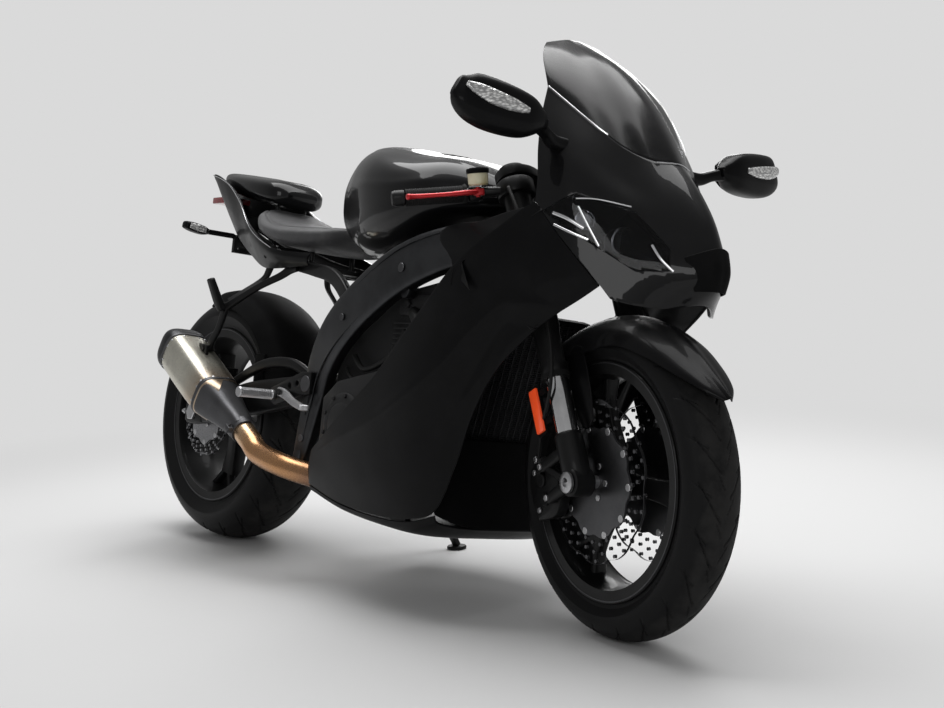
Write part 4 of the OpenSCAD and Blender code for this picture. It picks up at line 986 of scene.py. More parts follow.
# %% Side fairings and belly pan
SIDE = [[(640, -196, 205), (645, -203, 225), (650, -209, 245), (658, -213, 265), (667, -216, 283)],
        [(785, -214, 180), (785, -225, 230), (786, -233, 280), (789, -237, 325), (793, -238, 368)],
        [(924, -218, 170), (924, -236, 240), (924, -247, 315), (924, -251, 390), (924, -250, 460)],
        [(1030, -212, 175), (1032, -234, 270), (1035, -249, 370), (1038, -256, 475), (1042, -254, 577)],
        [(1100, -198, 200), (1110, -220, 310), (1122, -238, 435), (1136, -250, 565), (1150, -249, 690)],
        [(1150, -196, 300), (1168, -212, 410), (1190, -226, 525), (1215, -236, 640), (1240, -236, 752)],
        [(1190, -200, 400), (1220, -208, 500), (1258, -214, 600), (1298, -216, 700), (1345, -211, 812)],
        [(1250, -202, 490), (1280, -203, 552), (1315, -202, 615), (1350, -200, 678), (1394, -194, 752)],
        [(1330, -186, 570), (1360, -179, 592), (1390, -171, 612), (1422, -162, 633), (1464, -149, 664)]]
SEAM_GAP = 0.6
side_keep = [(500, 100), (500, 900), *[(x - SEAM_GAP, z - SEAM_GAP) for x, z in PARTING], (1500, 400),
             (1300, 100)]


def side_shape(sign):
    def shape(g):
        out = g.copy()
        s = np.linspace(0, 1, g.shape[1])[None, :]
        t = np.linspace(0, 1, g.shape[0])[:, None]
        crease = 3.5 * np.exp(-((s - 0.72 + 0.25 * t) / 0.05) ** 2)
        crease = crease * np.clip(t * 3, 0, 1) * np.clip((1 - t) * 4, 0, 1)
        hollow = -5.0 * np.exp(-((s - 0.55 + 0.25 * t) / 0.12) ** 2)
        hollow = hollow * np.clip(t * 3 - 0.4, 0, 1) * np.clip((1 - t) * 3, 0, 1)
        out[..., 1] += sign * (crease + hollow)
        return out
    return shape


for side_name, s in (("right", -1), ("left", 1)):
    rows = [[(p[0], -s * p[1], p[2]) for p in row] for row in SIDE]
    rows = rows if s < 0 else [row[::-1] for row in rows]
    surface_sheet(f"side_fairing_{side_name}", rows, 4, "chassis", "satin_black", "satin_black",
                  "side_fairings" if s < 0 else (), 8, 10, cuts=[(side_keep, True, lambda c: True)],
                  shape=side_shape(s))

BELLY = [(640, 195, 201, 180), (785, 213, 176, 156), (924, 217, 166, 142), (1030, 211, 169, 138),
         (1099, 197, 190, 164)]
belly_rows = [[(x, -math.copysign(1, k) * half * (0, 0.6, 0.93, 1)[abs(k)],
                low + (top - low) * (0, 0.06, 0.4, 1)[abs(k)])
               for k in range(-3, 4)] for x, half, top, low in BELLY]
surface_sheet("belly_pan", belly_rows, 4, "chassis", "satin_black", "satin_black", "belly_pan", 8, 8)
BACK_EDGE = [(1016, -250, 501), (1050, -251, 540), (1100, -250, 570), (1146, -250, 675), (1082, -240, 736),
             (1095, -240, 760), (1140, -236, 768), (1189, -230, 771), (1235, -222, 784), (1290, -214, 796),
             (1334, -208, 799)]
FRONT_EDGE = [(1042, -252, 560), (1075, -251, 590), (1122, -249, 640), (1170, -246, 690), (1190, -243, 712),
              (1215, -239, 728), (1230, -236, 740), (1250, -232, 750), (1275, -226, 758), (1305, -219, 770),
              (1345, -211, 790)]
for side_name, s in (("right", 1), ("left", -1)):
    rows = [[tuple(np.array(a) + (np.array(b) - np.array(a)) * k / 3) for k in range(4)]
            for a, b in zip(BACK_EDGE, FRONT_EDGE)]
    rows = [[(x, s * (y + 2.5), z) for x, y, z in row] for row in rows]
    surface_sheet(f"side_shoulder_{side_name}", rows if s > 0 else [row[::-1] for row in rows], 3,
                  "chassis", "satin_black", "satin_black", (), 4, 4)
    # the inner panel closes the gap between the side panel's front edge and the radiator
    edge = [(1046, 200, 186), (1086, 196, 240), (1118, 200, 330), (1150, 202, 420), (1196, 205, 500),
            (1252, 205, 560)]
    inner = [[(x, -s * y, z), (x - 22, -s * (y - 4), z + 6), (1052 + (z - 186) * 0.10, -s * 178, z + 8)]
             for x, y, z in edge]
    surface_sheet(f"inner_panel_{side_name}", inner, 2.5, "chassis", "matt_black", "matt_black", (), 6, 6)
front = [[(1098, -197, 192), (1098, -120, 170), (1098, 0, 165), (1098, 120, 170), (1098, 197, 192)],
         [(1082, -194, 230), (1082, -120, 215), (1082, 0, 210), (1082, 120, 215), (1082, 194, 230)],
         [(1060, -178, 290), (1062, -120, 285), (1062, 0, 283), (1062, 120, 285), (1060, 178, 290)],
         [(1048, -174, 345), (1050, -120, 345), (1050, 0, 345), (1050, 120, 345), (1048, 174, 345)]]
surface_sheet("belly_front", front, 3, "chassis", "matt_black", "matt_black", (), 6, 6)
print("side panels made")

# %% [markdown]
# The tank is a closed skin with a crease along each side and a flat saddle for the rider's knees.

# %% Tank, cap and tail
TANK = [(1040, 60, 850, 30, 20), (1000, 120, 846, 66, 32), (930, 176, 842, 100, 50),
        (830, 196, 836, 124, 90), (720, 186, 842, 140, 120), (620, 150, 850, 142, 125),
        (545, 112, 858, 116, 110), (505, 90, 858, 70, 80), (488, 60, 850, 30, 50)]
loops = []
for x, half, zc, up, down in smooth(TANK, 8):
    ring = []
    for k in range(128):
        a = 2 * math.pi * (k + 0.5) / 128
        c, s = super_round(a, 2.7)
        y, z = c * half, zc + s * (up if s > 0 else down)
        fade = min(1, max(0, (x - 520) / 90)) * min(1, max(0, (1010 - x) / 90))
        crease = math.exp(-((z - zc - 34) / 9) ** 2) * fade
        knee = math.exp(-((z - zc + 26) / 30) ** 2) * math.exp(-((x - 640) / 95) ** 2)
        flank = (1 if abs(c) > 0.6 else 0) * min(1, max(0, (x - 500) / 60))
        y -= math.copysign(1, y) * (6.0 * knee + 2.5 * (1 - crease) * flank)
        ring.append((x, y, z))
    loops.append(ring)
piece("fuel_tank", *rings(loops), "chassis", looks["gloss_black"], "gloss_black", "fuel_tank",
      smooth_angle=50)
cap = Matrix.Translation((800, 0, 958)) @ Matrix.Rotation(math.radians(6), 4, "Y")
cap_parts = [lathe([(0.01, 0), (41, 0), (42, 1.5), (42, 6), (40, 8.4), (31, 8.6), (30, 7.4), (16, 7.4),
                    (15, 9), (0.01, 9)], 72, axis="Z")]
cap_parts += [lathe([(0.01, 0), (3.6, 0), (3.6, 1.2), (3.0, 1.8), (0.01, 1.8)], 6,
                    (35.5 * math.cos(a), 35.5 * math.sin(a), 7.2), "Z")
              for a in (2 * math.pi * k / 7 for k in range(7))]
piece("fuel_cap", *moved(join_parts(*cap_parts), cap), "chassis", looks["black_metal"], "black_metal",
      "fuel_cap")

TAIL = [[(430, 122, 706), (440, 126, 736)], [(300, 122, 700), (300, 150, 748)],
        [(180, 96, 708), (150, 132, 812)], [(80, 78, 745), (20, 104, 902)],
        [(-10, 60, 785), (-100, 84, 952)], [(-80, 38, 820), (-196, 56, 972)]]
tail_half = [[tuple(np.array(low) + (np.array(high) - np.array(low)) * k / 3) for k in range(4)] for low,
             high in TAIL]
tail_half = [[(x, y * (1 + 0.06 * math.sin(math.radians(60 * k))), z) for k, (x, y, z) in enumerate(row)]
             for row in tail_half]
tail_tip = [(-120 - 142 * k / 3, 0, 845 + 121 * k / 3) for k in range(4)]
surface_sheet("tail_cowl", tail_half + [tail_tip] + [[(x, -y, z) for x, y, z in row]
                                                     for row in tail_half[::-1]], 4, "chassis",
              "satin_black", "gloss_black", "tail_cowl", 9, 8)
print("tank and tail made")

# %% [markdown]
# ## Seats
# The rider's seat is foam under leather: a body with soft shoulders, a seam round its top panel with
# two rows of stitches, and faint cross creases. The pillion pad is covered by a painted hump.

# %% Seats
def pad_loops(rows, steps, count, power, shape):
    loops = []
    for x, half, top, low in smooth(rows, steps):
        ring = []
        for k in range(count):
            a = 2 * math.pi * (k + 0.5) / count
            c, s = super_round(a, power)
            p = (x, c * half, (top + low) / 2 + s * (top - low) / 2)
            ring.append(shape(*p, s))
        loops.append(ring)
    return loops


RIDER = [(462, 50, 806, 776), (440, 100, 807, 752), (380, 136, 808, 746), (300, 146, 812, 754),
         (220, 138, 826, 776), (165, 116, 850, 802), (142, 90, 862, 826)]
half_at = lambda x: float(np.interp(x, [r[0] for r in RIDER[::-1]], [r[1] for r in RIDER[::-1]]))


def leather_seat(x, y, z, s):
    share = abs(y) / max(half_at(x), 1)
    if s > 0:
        seam = math.exp(-((share - 0.80) / 0.022) ** 2)
        puff = 1.6 * math.sin(min(share / 0.80, 1) * math.pi / 2) * math.cos(min(share / 0.80,
                                                                                 1) * math.pi / 2) * 2
        crease = sum(d * math.exp(-((x - at - 10 * share) / 5) ** 2) * math.exp(-((share - 0.45) / 0.3) ** 2)
                     for at, d in ((405, 0.9), (352, 0.7), (268, 0.8), (196, 1.2)))
        z += puff - 2.6 * seam - crease
    else:
        z += 1.5 * math.exp(-((share - 0.97) / 0.05) ** 2)
    return (x, y, z)


part = rings(pad_loops(RIDER, 16, 128, 3.0, leather_seat))
seat = piece("rider_seat", *part, "chassis", looks["seat_leather"], "seat_leather", "rider_seat",
             smooth_angle=0)


def seat_line(share, lift):
    """A line along each side of the seat's top, at a share of its half width."""
    rows = smooth(RIDER[1:-1], 16)
    out = []
    for side in (1, -1):
        line = []
        for x, half, top, low in rows:
            y = share * half
            s = max(0.0, 1 - share ** 3.0) ** (1 / 3.0)
            line.append((x, side * y, (top + low) / 2 + s * (top - low) / 2 + lift))
        out.append(line)
    return out


stitches = []
for share in (0.755, 0.845):
    for line in seat_line(share, 0.4):
        line = np.array(line)
        lengths = np.concatenate([[0], np.cumsum(np.linalg.norm(np.diff(line, axis=0), axis=1))])
        for d in np.arange(4, lengths[-1] - 4, 4.4):
            a, b = ([np.interp(d + o, lengths, line[:, k]) for k in range(3)] for o in (-1.35, 1.35))
            stitches.append(bar([[*a, 0.5, 0.4], [*((np.array(a) + b) / 2 + (0, 0, 0.35)), 0.7, 0.6],
                                 [*b, 0.5, 0.4]], 2, 6, 1))
piece("seat_stitches", *join_parts(*stitches), "chassis", looks["hose_black"], "seat_leather")

PILLION = [(180, 44, 912, 888), (150, 78, 938, 870), (60, 84, 952, 884), (-60, 68, 968, 908),
           (-150, 42, 978, 930), (-184, 22, 972, 946)]


def hump(x, y, z, s):
    ridge = math.exp(-((abs(y) - 34) / 10) ** 2) * (1.8 if s > 0 else 0) * min(1, max(0, (150 - x) / 60))
    return (x, y, z + ridge)


piece("pillion_seat", *rings(pad_loops(PILLION, 12, 96, 3.0, hump)), "chassis", looks["gloss_black"],
      "gloss_black", "pillion_seat", smooth_angle=60)
print("seats:", len(stitches), "stitches")

# %% [markdown]
# ## Frame, swingarm and stand
# The spars are wide aluminium beams with a rounded edge, bright at the machined lip. The same rows of
# sizes as the CAD model are used, with more points between them.

# %% Frame and swingarm
SPAR = [(1150, 22, 784, 40, 74), (1068, 76, 750, 40, 76), (990, 134, 736, 38, 94), (880, 168, 692, 38, 104),
        (760, 176, 622, 38, 104), (660, 170, 550, 36, 104), (600, 160, 480, 36, 92), (572, 152, 410, 34, 78),
        (552, 150, 330, 34, 64), (534, 150, 246, 34, 46)]
HEAD = (470, 636)
PIVOT = (565, 0, 425)
head = moved(lathe([(16, HEAD[0]), (33, HEAD[0]), (36, HEAD[0] + 8), (34, HEAD[0] + 30), (33, 553),
                    (34, HEAD[1] - 26), (36, HEAD[1] - 8), (33, HEAD[1]), (16, HEAD[1])], 48,
                   (STEM_X, 0, 0), "Z"), FORK)
frame_parts = [both(bar(SPAR, 5, 40, 10)), head, rod(13, 366, PIVOT), rod(14, 320, (628, 0, 548)),
               rod(14, 250, (980, 0, 775)), both(rod(15, 24, (890, 160, 642)))]
frame_parts += [both(bar([(534, 150, 262, 30, 44), (538, 160, 243, 28, 34), (540, 172, 226, 26, 18)], 4, 20,
                         6, (1, 0, 0)))]
STAND_PIVOT = Vector((540, 194, 240))
foot = lean_turn.inverted() @ Vector((573, 310, 6))
stand_out = math.atan2(foot.y - STAND_PIVOT.y, STAND_PIVOT.z - foot.z)
AT_STAND = Matrix.Translation(STAND_PIVOT) @ Matrix.Rotation(-math.pi / 2 + stand_out, 4, "X")
frame_parts += [moved(rod(17, 19.7, (0, 0, -16.2), "Z"), AT_STAND),
                moved(rod(7, 34, (0, 0, -3), "Z"), AT_STAND),
                moved(lathe([(0.01, 6.3), (12, 6.3), (12, 11), (10.5, 12.3), (0.01, 12.3)], 6, axis="Z"),
                      AT_STAND)]
piece("frame", *join_parts(*frame_parts), "chassis", looks["grey_frame"], "grey_frame", "frame",
      smooth_angle=45)
lips = []
for y_off, z_off, w in ((17, 36, 5), (17, -37, 4)):
    rows = [(x, y + y_off * 0.98, z + z_off * h / 94, w, 3.0) for x, y, z, _, h in SPAR[2:-1]]
    lips.append(both(bar(rows, 2, 8, 10)))
piece("frame_edges", *join_parts(*lips), "chassis", looks["grey_frame"], "grey_frame")
plugs = [both(rod(r, 3.5, (x, y, z), "Y", 1.2)) for x, y, z, r in ((565, 184, 425, 19), (628, 176, 548, 11),
                                                                   (890, 187, 690, 10),
                                                                 (700, 195, 580, 8), (545, 168, 300, 9))]
piece("frame_bolts", *join_parts(*plugs), "chassis", looks["dark_steel"], "black_metal")

ARM = [(565, 112, 425, 30, 60), (490, 113, 416, 30, 62), (380, 124, 396, 32, 76), (250, 136, 372, 32, 84),
       (110, 136, 342, 32, 70), (0, 136, REAR_Z, 32, 60), (-34, 136, REAR_Z - 4, 32, 48)]
brace = [(470, 112, 446, 18, 22), (400, 122, 470, 18, 26), (300, 132, 462, 18, 26), (190, 136, 420, 18, 22),
         (120, 136, 386, 18, 16)]
arm_parts = [both(bar(ARM, 5, 36, 10)), rod(26, 252, PIVOT), box_part((470, -112, 384), (530, 112, 446), 8),
             both(rod(18, 18, (0, 126.5, REAR_Z))), rod(6, 17, (236, -113, 398)), both(bar(brace, 3, 24, 8)),
             both(box_part((-38, 118, REAR_Z - 24), (48, 153, REAR_Z + 24), 5))]
piece("swingarm", *join_parts(*arm_parts), "chassis", looks["black_metal"], "black_metal", "swingarm",
      smooth_angle=45)
adjusters = [both(rod(5, 60, (-50, 136, REAR_Z), "X", 1, 12)),
             both(rod(8, 8, (-66, 136, REAR_Z), "X", 1, 6)),
             both(rod(10, 14, (62, 158, REAR_Z + 6), "Y", 2)), rod(12, 318, (0, 0, REAR_Z)),
             both(rod(21, 9, (0, 156.5, REAR_Z), "Y", 2, 6))]
piece("rear_axle", *join_parts(*adjusters), "chassis", looks["silver_metal"], "silver_metal", "rear_axle")

RAIL = [(655, 134, 590, 20, 32), (600, 124, 642, 20, 34), (520, 108, 682, 20, 34), (420, 96, 700, 20, 32),
        (250, 76, 728, 18, 28), (60, 46, 790, 14, 24), (-78, 29, 840, 12, 18)]

stand_low = bar([(542, 200, 230, 22, 12), ((540 + foot.x) / 2 + 4, (194 + foot.y) / 2, (240 + foot.z) / 2,
                                           20, 18),
                 (foot.x, foot.y, foot.z + 3, 22, 14)], 4, 24, 8, (1, 0, 0))
shoe = moved(lathe([(0.01, 0.4), (23, 0.4), (24, 2), (24, 6), (22, 8), (0.01, 8)], 40, axis="Z"),
             lean_turn.inverted() @ Matrix.Translation((573, 310, 0)))
piece("side_stand", *join_parts(moved(rod(17, 12, (0, 0, 0), "Z"), AT_STAND), stand_low, shoe), "side_stand",
      looks["black_metal"], "black_metal", "side_stand", smooth_angle=45)
spring = []
for k in range(160):
    t, a = k / 159, 2 * math.pi * 15 * k / 159
    spring.append((556 + 5 * math.cos(a) + 8 * t, 206 + 34 * t + 5 * math.sin(a) * 0.7,
                   222 - 88 * t + 5 * math.sin(a) * 0.7))
piece("stand_spring", *pipe(spring, 2.4, 6, 1, (1, 0, 0)), "side_stand", looks["dark_steel"], "black_metal",
      smooth_angle=0)
print("frame, swingarm and stand made")

# %% [markdown]
# ## Front end
# The fork legs, feet and calipers belong to the steering. They are drawn in the fork's own frame, with
# z up the steering axis and the front axle at its origin.

# %% Fork, clamps and calipers
def fork_piece(name, part, finish, slot_name, stands_for=(), angle=40):
    return piece(name, *part, "steering", looks[finish], slot_name, stands_for, angle, within=FORK)


def leg(part, y=LEG_Y):
    return both(moved(part, Matrix.Translation((0, y, 0))))


tube = lathe([(21.8, 215), (24, 214), (26.5, 218), (26.5, 238), (24.5, 242), (25, 300), (28, 312),
              (28, 640), (28, 662), (26, 668), (21.8, 668)], 56, axis="Z")
fork_piece("fork_tubes", leg(tube), "black_metal", "black_metal", "fork_tubes")
fork_piece("fork_caps", leg(lathe([(0.01, 655), (20.5, 655), (20.5, 664), (12, 666), (11, 667.5),
                                   (0.01, 667.5)], 6, axis="Z")),
           "dark_steel", "black_metal")
fork_piece("fork_stanchions", leg(lathe([(0.01, 77), (21.5, 77), (21.5, 476), (0.01, 476)], 56, axis="Z")),
           "polished_tube", "polished_tube", "fork_stanchions")
fork_piece("fork_seals", leg(lathe([(22, 208), (27.5, 208), (28.5, 211), (28.5, 217), (22, 217)], 48,
                                   axis="Z")), "rubber",
           "black_metal")
foot_parts = [leg(lathe([(0.01, -8), (20, -8), (27, 2), (27, 40), (27, 88), (26, 94), (24, 96), (22, 96)],
                        48, axis="Z", closed=False)),
              leg(lathe([(0.01, -22), (25, -22), (27, -20), (27, 20), (25, 22), (0.01, 22)], 48)),
              leg(bar([(-8, 0, 2, 20, 22), (-60, 0, 4, 17, 24), (-104, 0, 2, 17, 22)], 3.5, 24, 6,
                      (0, 1, 0))),
              leg(bar([(-8, 0, 72, 20, 26), (-60, 0, 68, 17, 24), (-104, 0, 66, 17, 22)], 3.5, 24, 6,
                      (0, 1, 0))),
              leg(bar([(-30, 0, 8, 14, 14), (-66, 0, 40, 13, 14), (-92, 0, 62, 13, 14)], 3.5, 16, 6,
                      (0, 1, 0)))]
fork_piece("fork_feet", join_parts(*foot_parts), "black_metal", "black_metal", "fork_feet")
bolts = [leg(rod(6.5, 26, (-102, 0, z), "Y", 1.5, 6)) for z in (3, 66)]
fork_piece("fork_foot_bolts", join_parts(*bolts), "silver_metal", "silver_metal")
axle_parts = [rod(12.4, 256, (0, 0, 0)),
              both(lathe([(13, 127.5), (18, 127.5), (20, 129), (20, 134), (18, 135.5), (9, 135.5),
                                                  (8, 131), (0.01, 131)], 36, closed=False))]
fork_piece("front_axle", join_parts(*axle_parts), "silver_metal", "silver_metal", "front_axle")

body_line = [(-172, -20), (-118, -30), (-90, -12), (-80, 20), (-82, 56), (-96, 84), (-132, 92), (-170, 74),
             (-180, 30)]
caliper = []
for y0, y1 in ((34, 54.5), (71, 95.5)):
    outline = [tuple(p) for p in smooth(np.array(body_line + body_line[:1]), 5)[:-1]]
    caliper.append(moved(plate(outline, [circle(-128, 58, 9, 16)] if y0 > 50 else [], y1 - y0, 0, 3.5),
                         Matrix.Translation((0, (y0 + y1) / 2, 0))))
caliper += [box_part((-178, 40, -4), (-162, 92, 62), 5), rod(13, 8, (-132, 97, 10), "Y", 2),
            rod(13, 8, (-132, 97, 48), "Y", 2), box_part((-150, 50, 6), (-112, 76, 16), 2)]
fork_piece("front_calipers", both(join_parts(*caliper)), "black_metal", "black_metal", "front_calipers", 35)
fork_piece("caliper_bolts", both(join_parts(rod(6, 5, (-150, 98, 70), "Y", 1.2, 6),
                                            rod(6, 5, (-158, 98, -4), "Y", 1.2, 6),
                                            rod(4, 46, (-104, 64, 40), "Y", 0.6, 12))), "silver_metal",
           "silver_metal")
reflector = box_part((-66, 124, 118), (-40, 131, 206), 3)
holder = [box_part((-68, 118, 112), (-38, 125.5, 212), 2), box_part((-44, 100, 128), (-18, 124, 142), 2),
          box_part((-44, 100, 186), (-18, 124, 200), 2)]
# the reflectors' finish carries a painted glow
fork_piece("reflectors", both(reflector), "reflector_orange_glow", "lamp_red", angle=30)
fork_piece("reflector_holders", both(join_parts(*holder)), "matt_black", "matt_black")


def clamp(z0, z1, leg_r, holes=()):
    plan = [(STEM_X + 40, 26), (34, LEG_Y - 22), (34, LEG_Y + 16), (14, LEG_Y + leg_r - 4),
            (-20, LEG_Y + leg_r - 6), (-34, LEG_Y + 10), (-34, LEG_Y - 20), (STEM_X - 20, 24)]
    plan = plan + [(x, -y) for x, y in plan[::-1]]
    plan = [tuple(p) for p in smooth(np.array(plan + plan[:1]), 5)[:-1]]
    part = plate(plan, [circle(0, LEG_Y, 28.6, 40), circle(0, -LEG_Y, 28.6, 40), *holes], z1 - z0, 0, 2)
    return [(v[0], v[2], -v[1] + (z0 + z1) / 2) for v in part[0]], part[1]


clamps = [clamp(432, 466, 38, [circle(STEM_X, 0, 7.5)]), clamp(640, 660, 37),
          lathe([(7.5, 465), (15, 465), (15, 641), (0.01, 641), (0.01, 473), (7.5, 473)], 40,
                (STEM_X, 0, 0), "Z"),
          lathe([(0.01, 658), (17, 658), (17, 666), (13, 667.5), (0.01, 667.5)], 6, (STEM_X, 0, 0), "Z")]
fork_piece("triple_clamps", join_parts(*clamps), "black_metal", "black_metal", "triple_clamps")

AT_BAR = (Matrix.Translation((0, LEG_Y, 618)) @ Matrix.Rotation(RAKE, 4,
                                                                "Y") @ Matrix.Rotation(math.radians(-7), 4,
                                                                                       "X")
          @ Matrix.Rotation(math.radians(20), 4, "Z"))
bars = []
bars += [leg(lathe([(28.6, 602), (37, 602), (38.5, 604), (38.5, 632), (37, 634), (28.6, 634)], 48,
                   axis="Z"))]
bars += [both(moved(rod(11, 197, (0, 127, 0), "Y", 1.5), AT_BAR)),
         both(moved(lathe([(0.01, 225.3), (13, 225.3), (16, 228), (16, 246), (13.5, 252), (9, 253),
                           (0.01, 253)], 32), AT_BAR)),
         both(moved(box_part((-13, 70, -15), (15, 98, 13), 5), AT_BAR))]
fork_piece("handlebars", join_parts(*bars), "black_metal", "black_metal", "handlebars")
ribs = [(11.3, 102), (18.5, 102), (19, 104), (19, 107), (17, 109)]
for k in range(28):
    y = 110 + k * 4
    ribs += [(16.4, y), (17, y + 0.7), (17, y + 2.6), (16.4, y + 3.3)]
ribs += [(17.5, 223), (17.5, 225), (11.3, 225)]
fork_piece("grips", both(moved(lathe(ribs, 40), AT_BAR)), "rubber", "rubber", "grips", 50)
lever = [(48, 84, 0, 14, 12), (55, 110, 0, 13, 11), (58, 150, -1, 12, 9), (58, 190, -1, 12, 9),
         (62, 216, -1, 12, 10), (66, 228, -1, 13, 12)]
lever_parts = [bar(lever, 2.6, 20, 8, (1, 0, 0), 0.9), box_part((38, 74, -7), (56, 96, 7), 3),
               rod(5, 20, (47, 86, 0), "Z", 1)]
fork_piece("hand_levers", both(moved(join_parts(*lever_parts), AT_BAR)), "red_metal", "red_metal",
           "hand_levers")
perches = [lathe([(11.2, 74), (16, 74), (17, 76), (17, 94), (16, 96), (11.2, 96)], 32),
           box_part((6, 76, -9), (44, 94, 9), 4),
           bar([(30, 92, 0, 18, 18), (38, 60, 0, 18, 18), (42, 40, 0, 16, 16)], 2.5, 20, 4, (1, 0, 0))]
fork_piece("lever_perches", both(moved(join_parts(*perches), AT_BAR)), "black_metal", "black_metal")
cup = [lathe([(0.01, 6), (17, 6), (20, 9), (21, 30), (0.01, 30)], 40, (34, 82, 7.3), "Z")]
lid = [lathe([(0.01, 30), (22, 30), (22.5, 31), (22.5, 38), (21, 40), (17, 40), (16, 41.5), (0.01, 41.5)],
             40, (34, 82, 7.3), "Z")]
right_bar = lambda part: flipped(moved(part, AT_BAR))
fork_piece("brake_reservoir", right_bar(join_parts(*cup)), "reservoir", "lamp_clear")
fork_piece("brake_reservoir_lid", right_bar(join_parts(*lid)), "matt_black", "black_metal")
print("front end made")

# %% [markdown]
# Brake hoses run from the lever down the fork legs to the calipers, and move with the steering.

# %% Hoses
hose_right = [(40, -150, 600), (58, -150, 520), (44, -132, 400), (40, -128, 280), (20, -134, 190),
              (-60, -120, 130), (-128, -96, 90)]
hose_left = [(44, -100, 480), (60, -20, 440), (56, 60, 410), (42, 116, 330), (30, 130, 240),
             (-30, 128, 150), (-128, 96, 90)]
fork_piece("brake_hoses", join_parts(pipe(hose_right, 7, 12, 10, (0, 0, 1)),
                                     pipe(hose_left, 7, 12, 10, (0, 0, 1))), "hose_black",
           "rubber", angle=0)
unions = [rod(7, 14, (-128, s * 99, 90), "Y", 1.5, 6) for s in (1, -1)]
fork_piece("hose_unions", join_parts(*unions), "silver_metal", "silver_metal")

# %% [markdown]
# The front fender has a beak over the tyre, a ridge down its middle, and legs that come down in front
# of the fork.

# %% Front fender
FENDER_R = 309
fender_rows = []
for t, wide, up, drop in ((-12, 8, 34, 2), (-6, 36, 24, 8), (4, 56, 12, 20), (18, 68, 6, 34),
                          (36, 72, 3, 46), (58, 73, 0, 60), (78, 73, 0, 46), (92, 62, 0, 22)):
    row = []
    for k in range(-4, 5):
        q = abs(k) / 4
        y = math.copysign(wide * min(1, q * 1.12), k) if k else 0
        rr = FENDER_R + up - drop * q ** 3 - 5 * q + (3.5 if k == 0 else 0)
        a = math.radians(48 - t)
        row.append((rr * math.sin(a) + FRONT_X, y, rr * math.cos(a) + FRONT_Z))
    fender_rows.append(row)
surface_sheet("front_fender", fender_rows, 2.6, "steering", "satin_black", "satin_black", "front_fender", 8,
              6)
for s in (1, -1):
    rows = [[(8, 74, 250), (34, 74, 262), (60, 73, 250)], [(4, 77.5, 205), (34, 78.5, 205), (64, 76, 200)],
            [(2, 77, 150), (32, 78, 150), (58, 76, 150)], [(6, 74, 104), (26, 74.5, 98), (44, 73, 108)]]
    rows = [[FORK @ Vector((x, s * y, z)) for x, y, z in row] for row in rows]
    surface_sheet("fender_leg_" + ("left" if s > 0 else "right"),
                  [[tuple(p) for p in row] for row in (rows if s < 0 else rows[::-1])], 3, "steering",
                  "satin_black", "satin_black", (), 6, 6)
print("fender made")

# %% [markdown]
# ## Exhaust
# A heat-tinted link pipe rises to an oval muffler: a dark cone, a pale titanium body with a rolled
# band at each end, and a grey end cap with its outlet.

# %% Exhaust
def muffler_rows(table):
    rows = []
    for along, wide, high in table:
        p = MUFFLER_FROM + MUFFLER_DIR * along
        rows.append((p.x, p.y - 11 * max(0, min((along - 30) / 120, 1)), p.z, wide, high))
    return rows


def muffler_part(table, steps=8, power=3.4):
    return bar(muffler_rows(table), power, 64, steps)


piece("muffler", *muffler_part([(147, 110, 102), (150, 112, 104), (257, 114, 108), (365, 112, 106),
                                (367, 111, 105)]),
      "chassis", looks["titanium"], "titanium", "muffler", smooth_angle=50)
piece("muffler_cone", *muffler_part([(2, 58, 58), (30, 62, 62), (70, 76, 74), (110, 94, 90),
                                     (149, 113, 105)]), "chassis",
      looks["dark_steel"], "black_metal", smooth_angle=50)
cap_rows = [(358, 115, 109), (362, 117, 111), (374, 116, 110), (388, 108, 102), (398, 96, 91), (401, 90, 86)]
piece("muffler_end_cap", *muffler_part(cap_rows), "chassis", looks["grey_frame"], "grey_frame",
      smooth_angle=50)
bands = [muffler_part([(a, w, h), (a + 1, w + 3, h + 3), (a + 7, w + 3, h + 3), (a + 8, w, h)], 1)
         for a, w, h in ((146, 112, 104), (352, 114, 108))]
piece("muffler_bands", *join_parts(*bands), "chassis", looks["dark_steel"], "black_metal", smooth_angle=50)
end = MUFFLER_FROM + MUFFLER_DIR * 401 + Vector((0, -11, 0))
AT_END = Matrix.Translation(end) @ MUFFLER_DIR.to_track_quat("Z", "Y").to_matrix().to_4x4()
outlet = lathe([(22, -14), (26, -6), (28, 3), (25, 4), (21, -2), (19, -14)], 48, axis="Z")
piece("muffler_outlet", *moved(outlet, AT_END), "chassis", looks["dark_steel"], "black_metal")
piece("muffler_outlet_inside", *moved(lathe([(0.01, -13), (24, -13), (24, 1), (0.01, 1)], 40, axis="Z"),
                                      AT_END), "chassis",
      looks["matt_black"], "matt_black")
rivets = []
for along, wide, high in ((155, 112, 104), (347, 113, 107)):
    row = muffler_rows([(along, wide, high)])[0]
    for k in range(16):
        c, s = super_round(2 * math.pi * (k + 0.5) / 16, 3.4)
        up = Vector((0.484, 0, 0.875))
        spot = Vector(row[:3]) + Vector((0, 1, 0)) * c * wide / 2 + up * s * high / 2
        out = (Vector((0, 1, 0)) * c / wide + up * s / high).normalized()
        turn = Matrix.Translation(spot) @ out.to_track_quat("Z", "Y").to_matrix().to_4x4()
        rivets.append(moved(lathe([(0.01, -0.5), (3.2, -0.5), (2.6, 1.0), (0.01, 1.6)], 12, axis="Z"), turn))
piece("muffler_rivets", *join_parts(*rivets), "chassis", looks["silver_metal"], "silver_metal")
link = [(705, -104, 210), (630, -150, 217), (540, -199, 233)] + [tuple(MUFFLER_FROM + MUFFLER_DIR * a)
                                                                 for a in (-100, -50, 4)]
clamp_at = MUFFLER_FROM + MUFFLER_DIR * 6
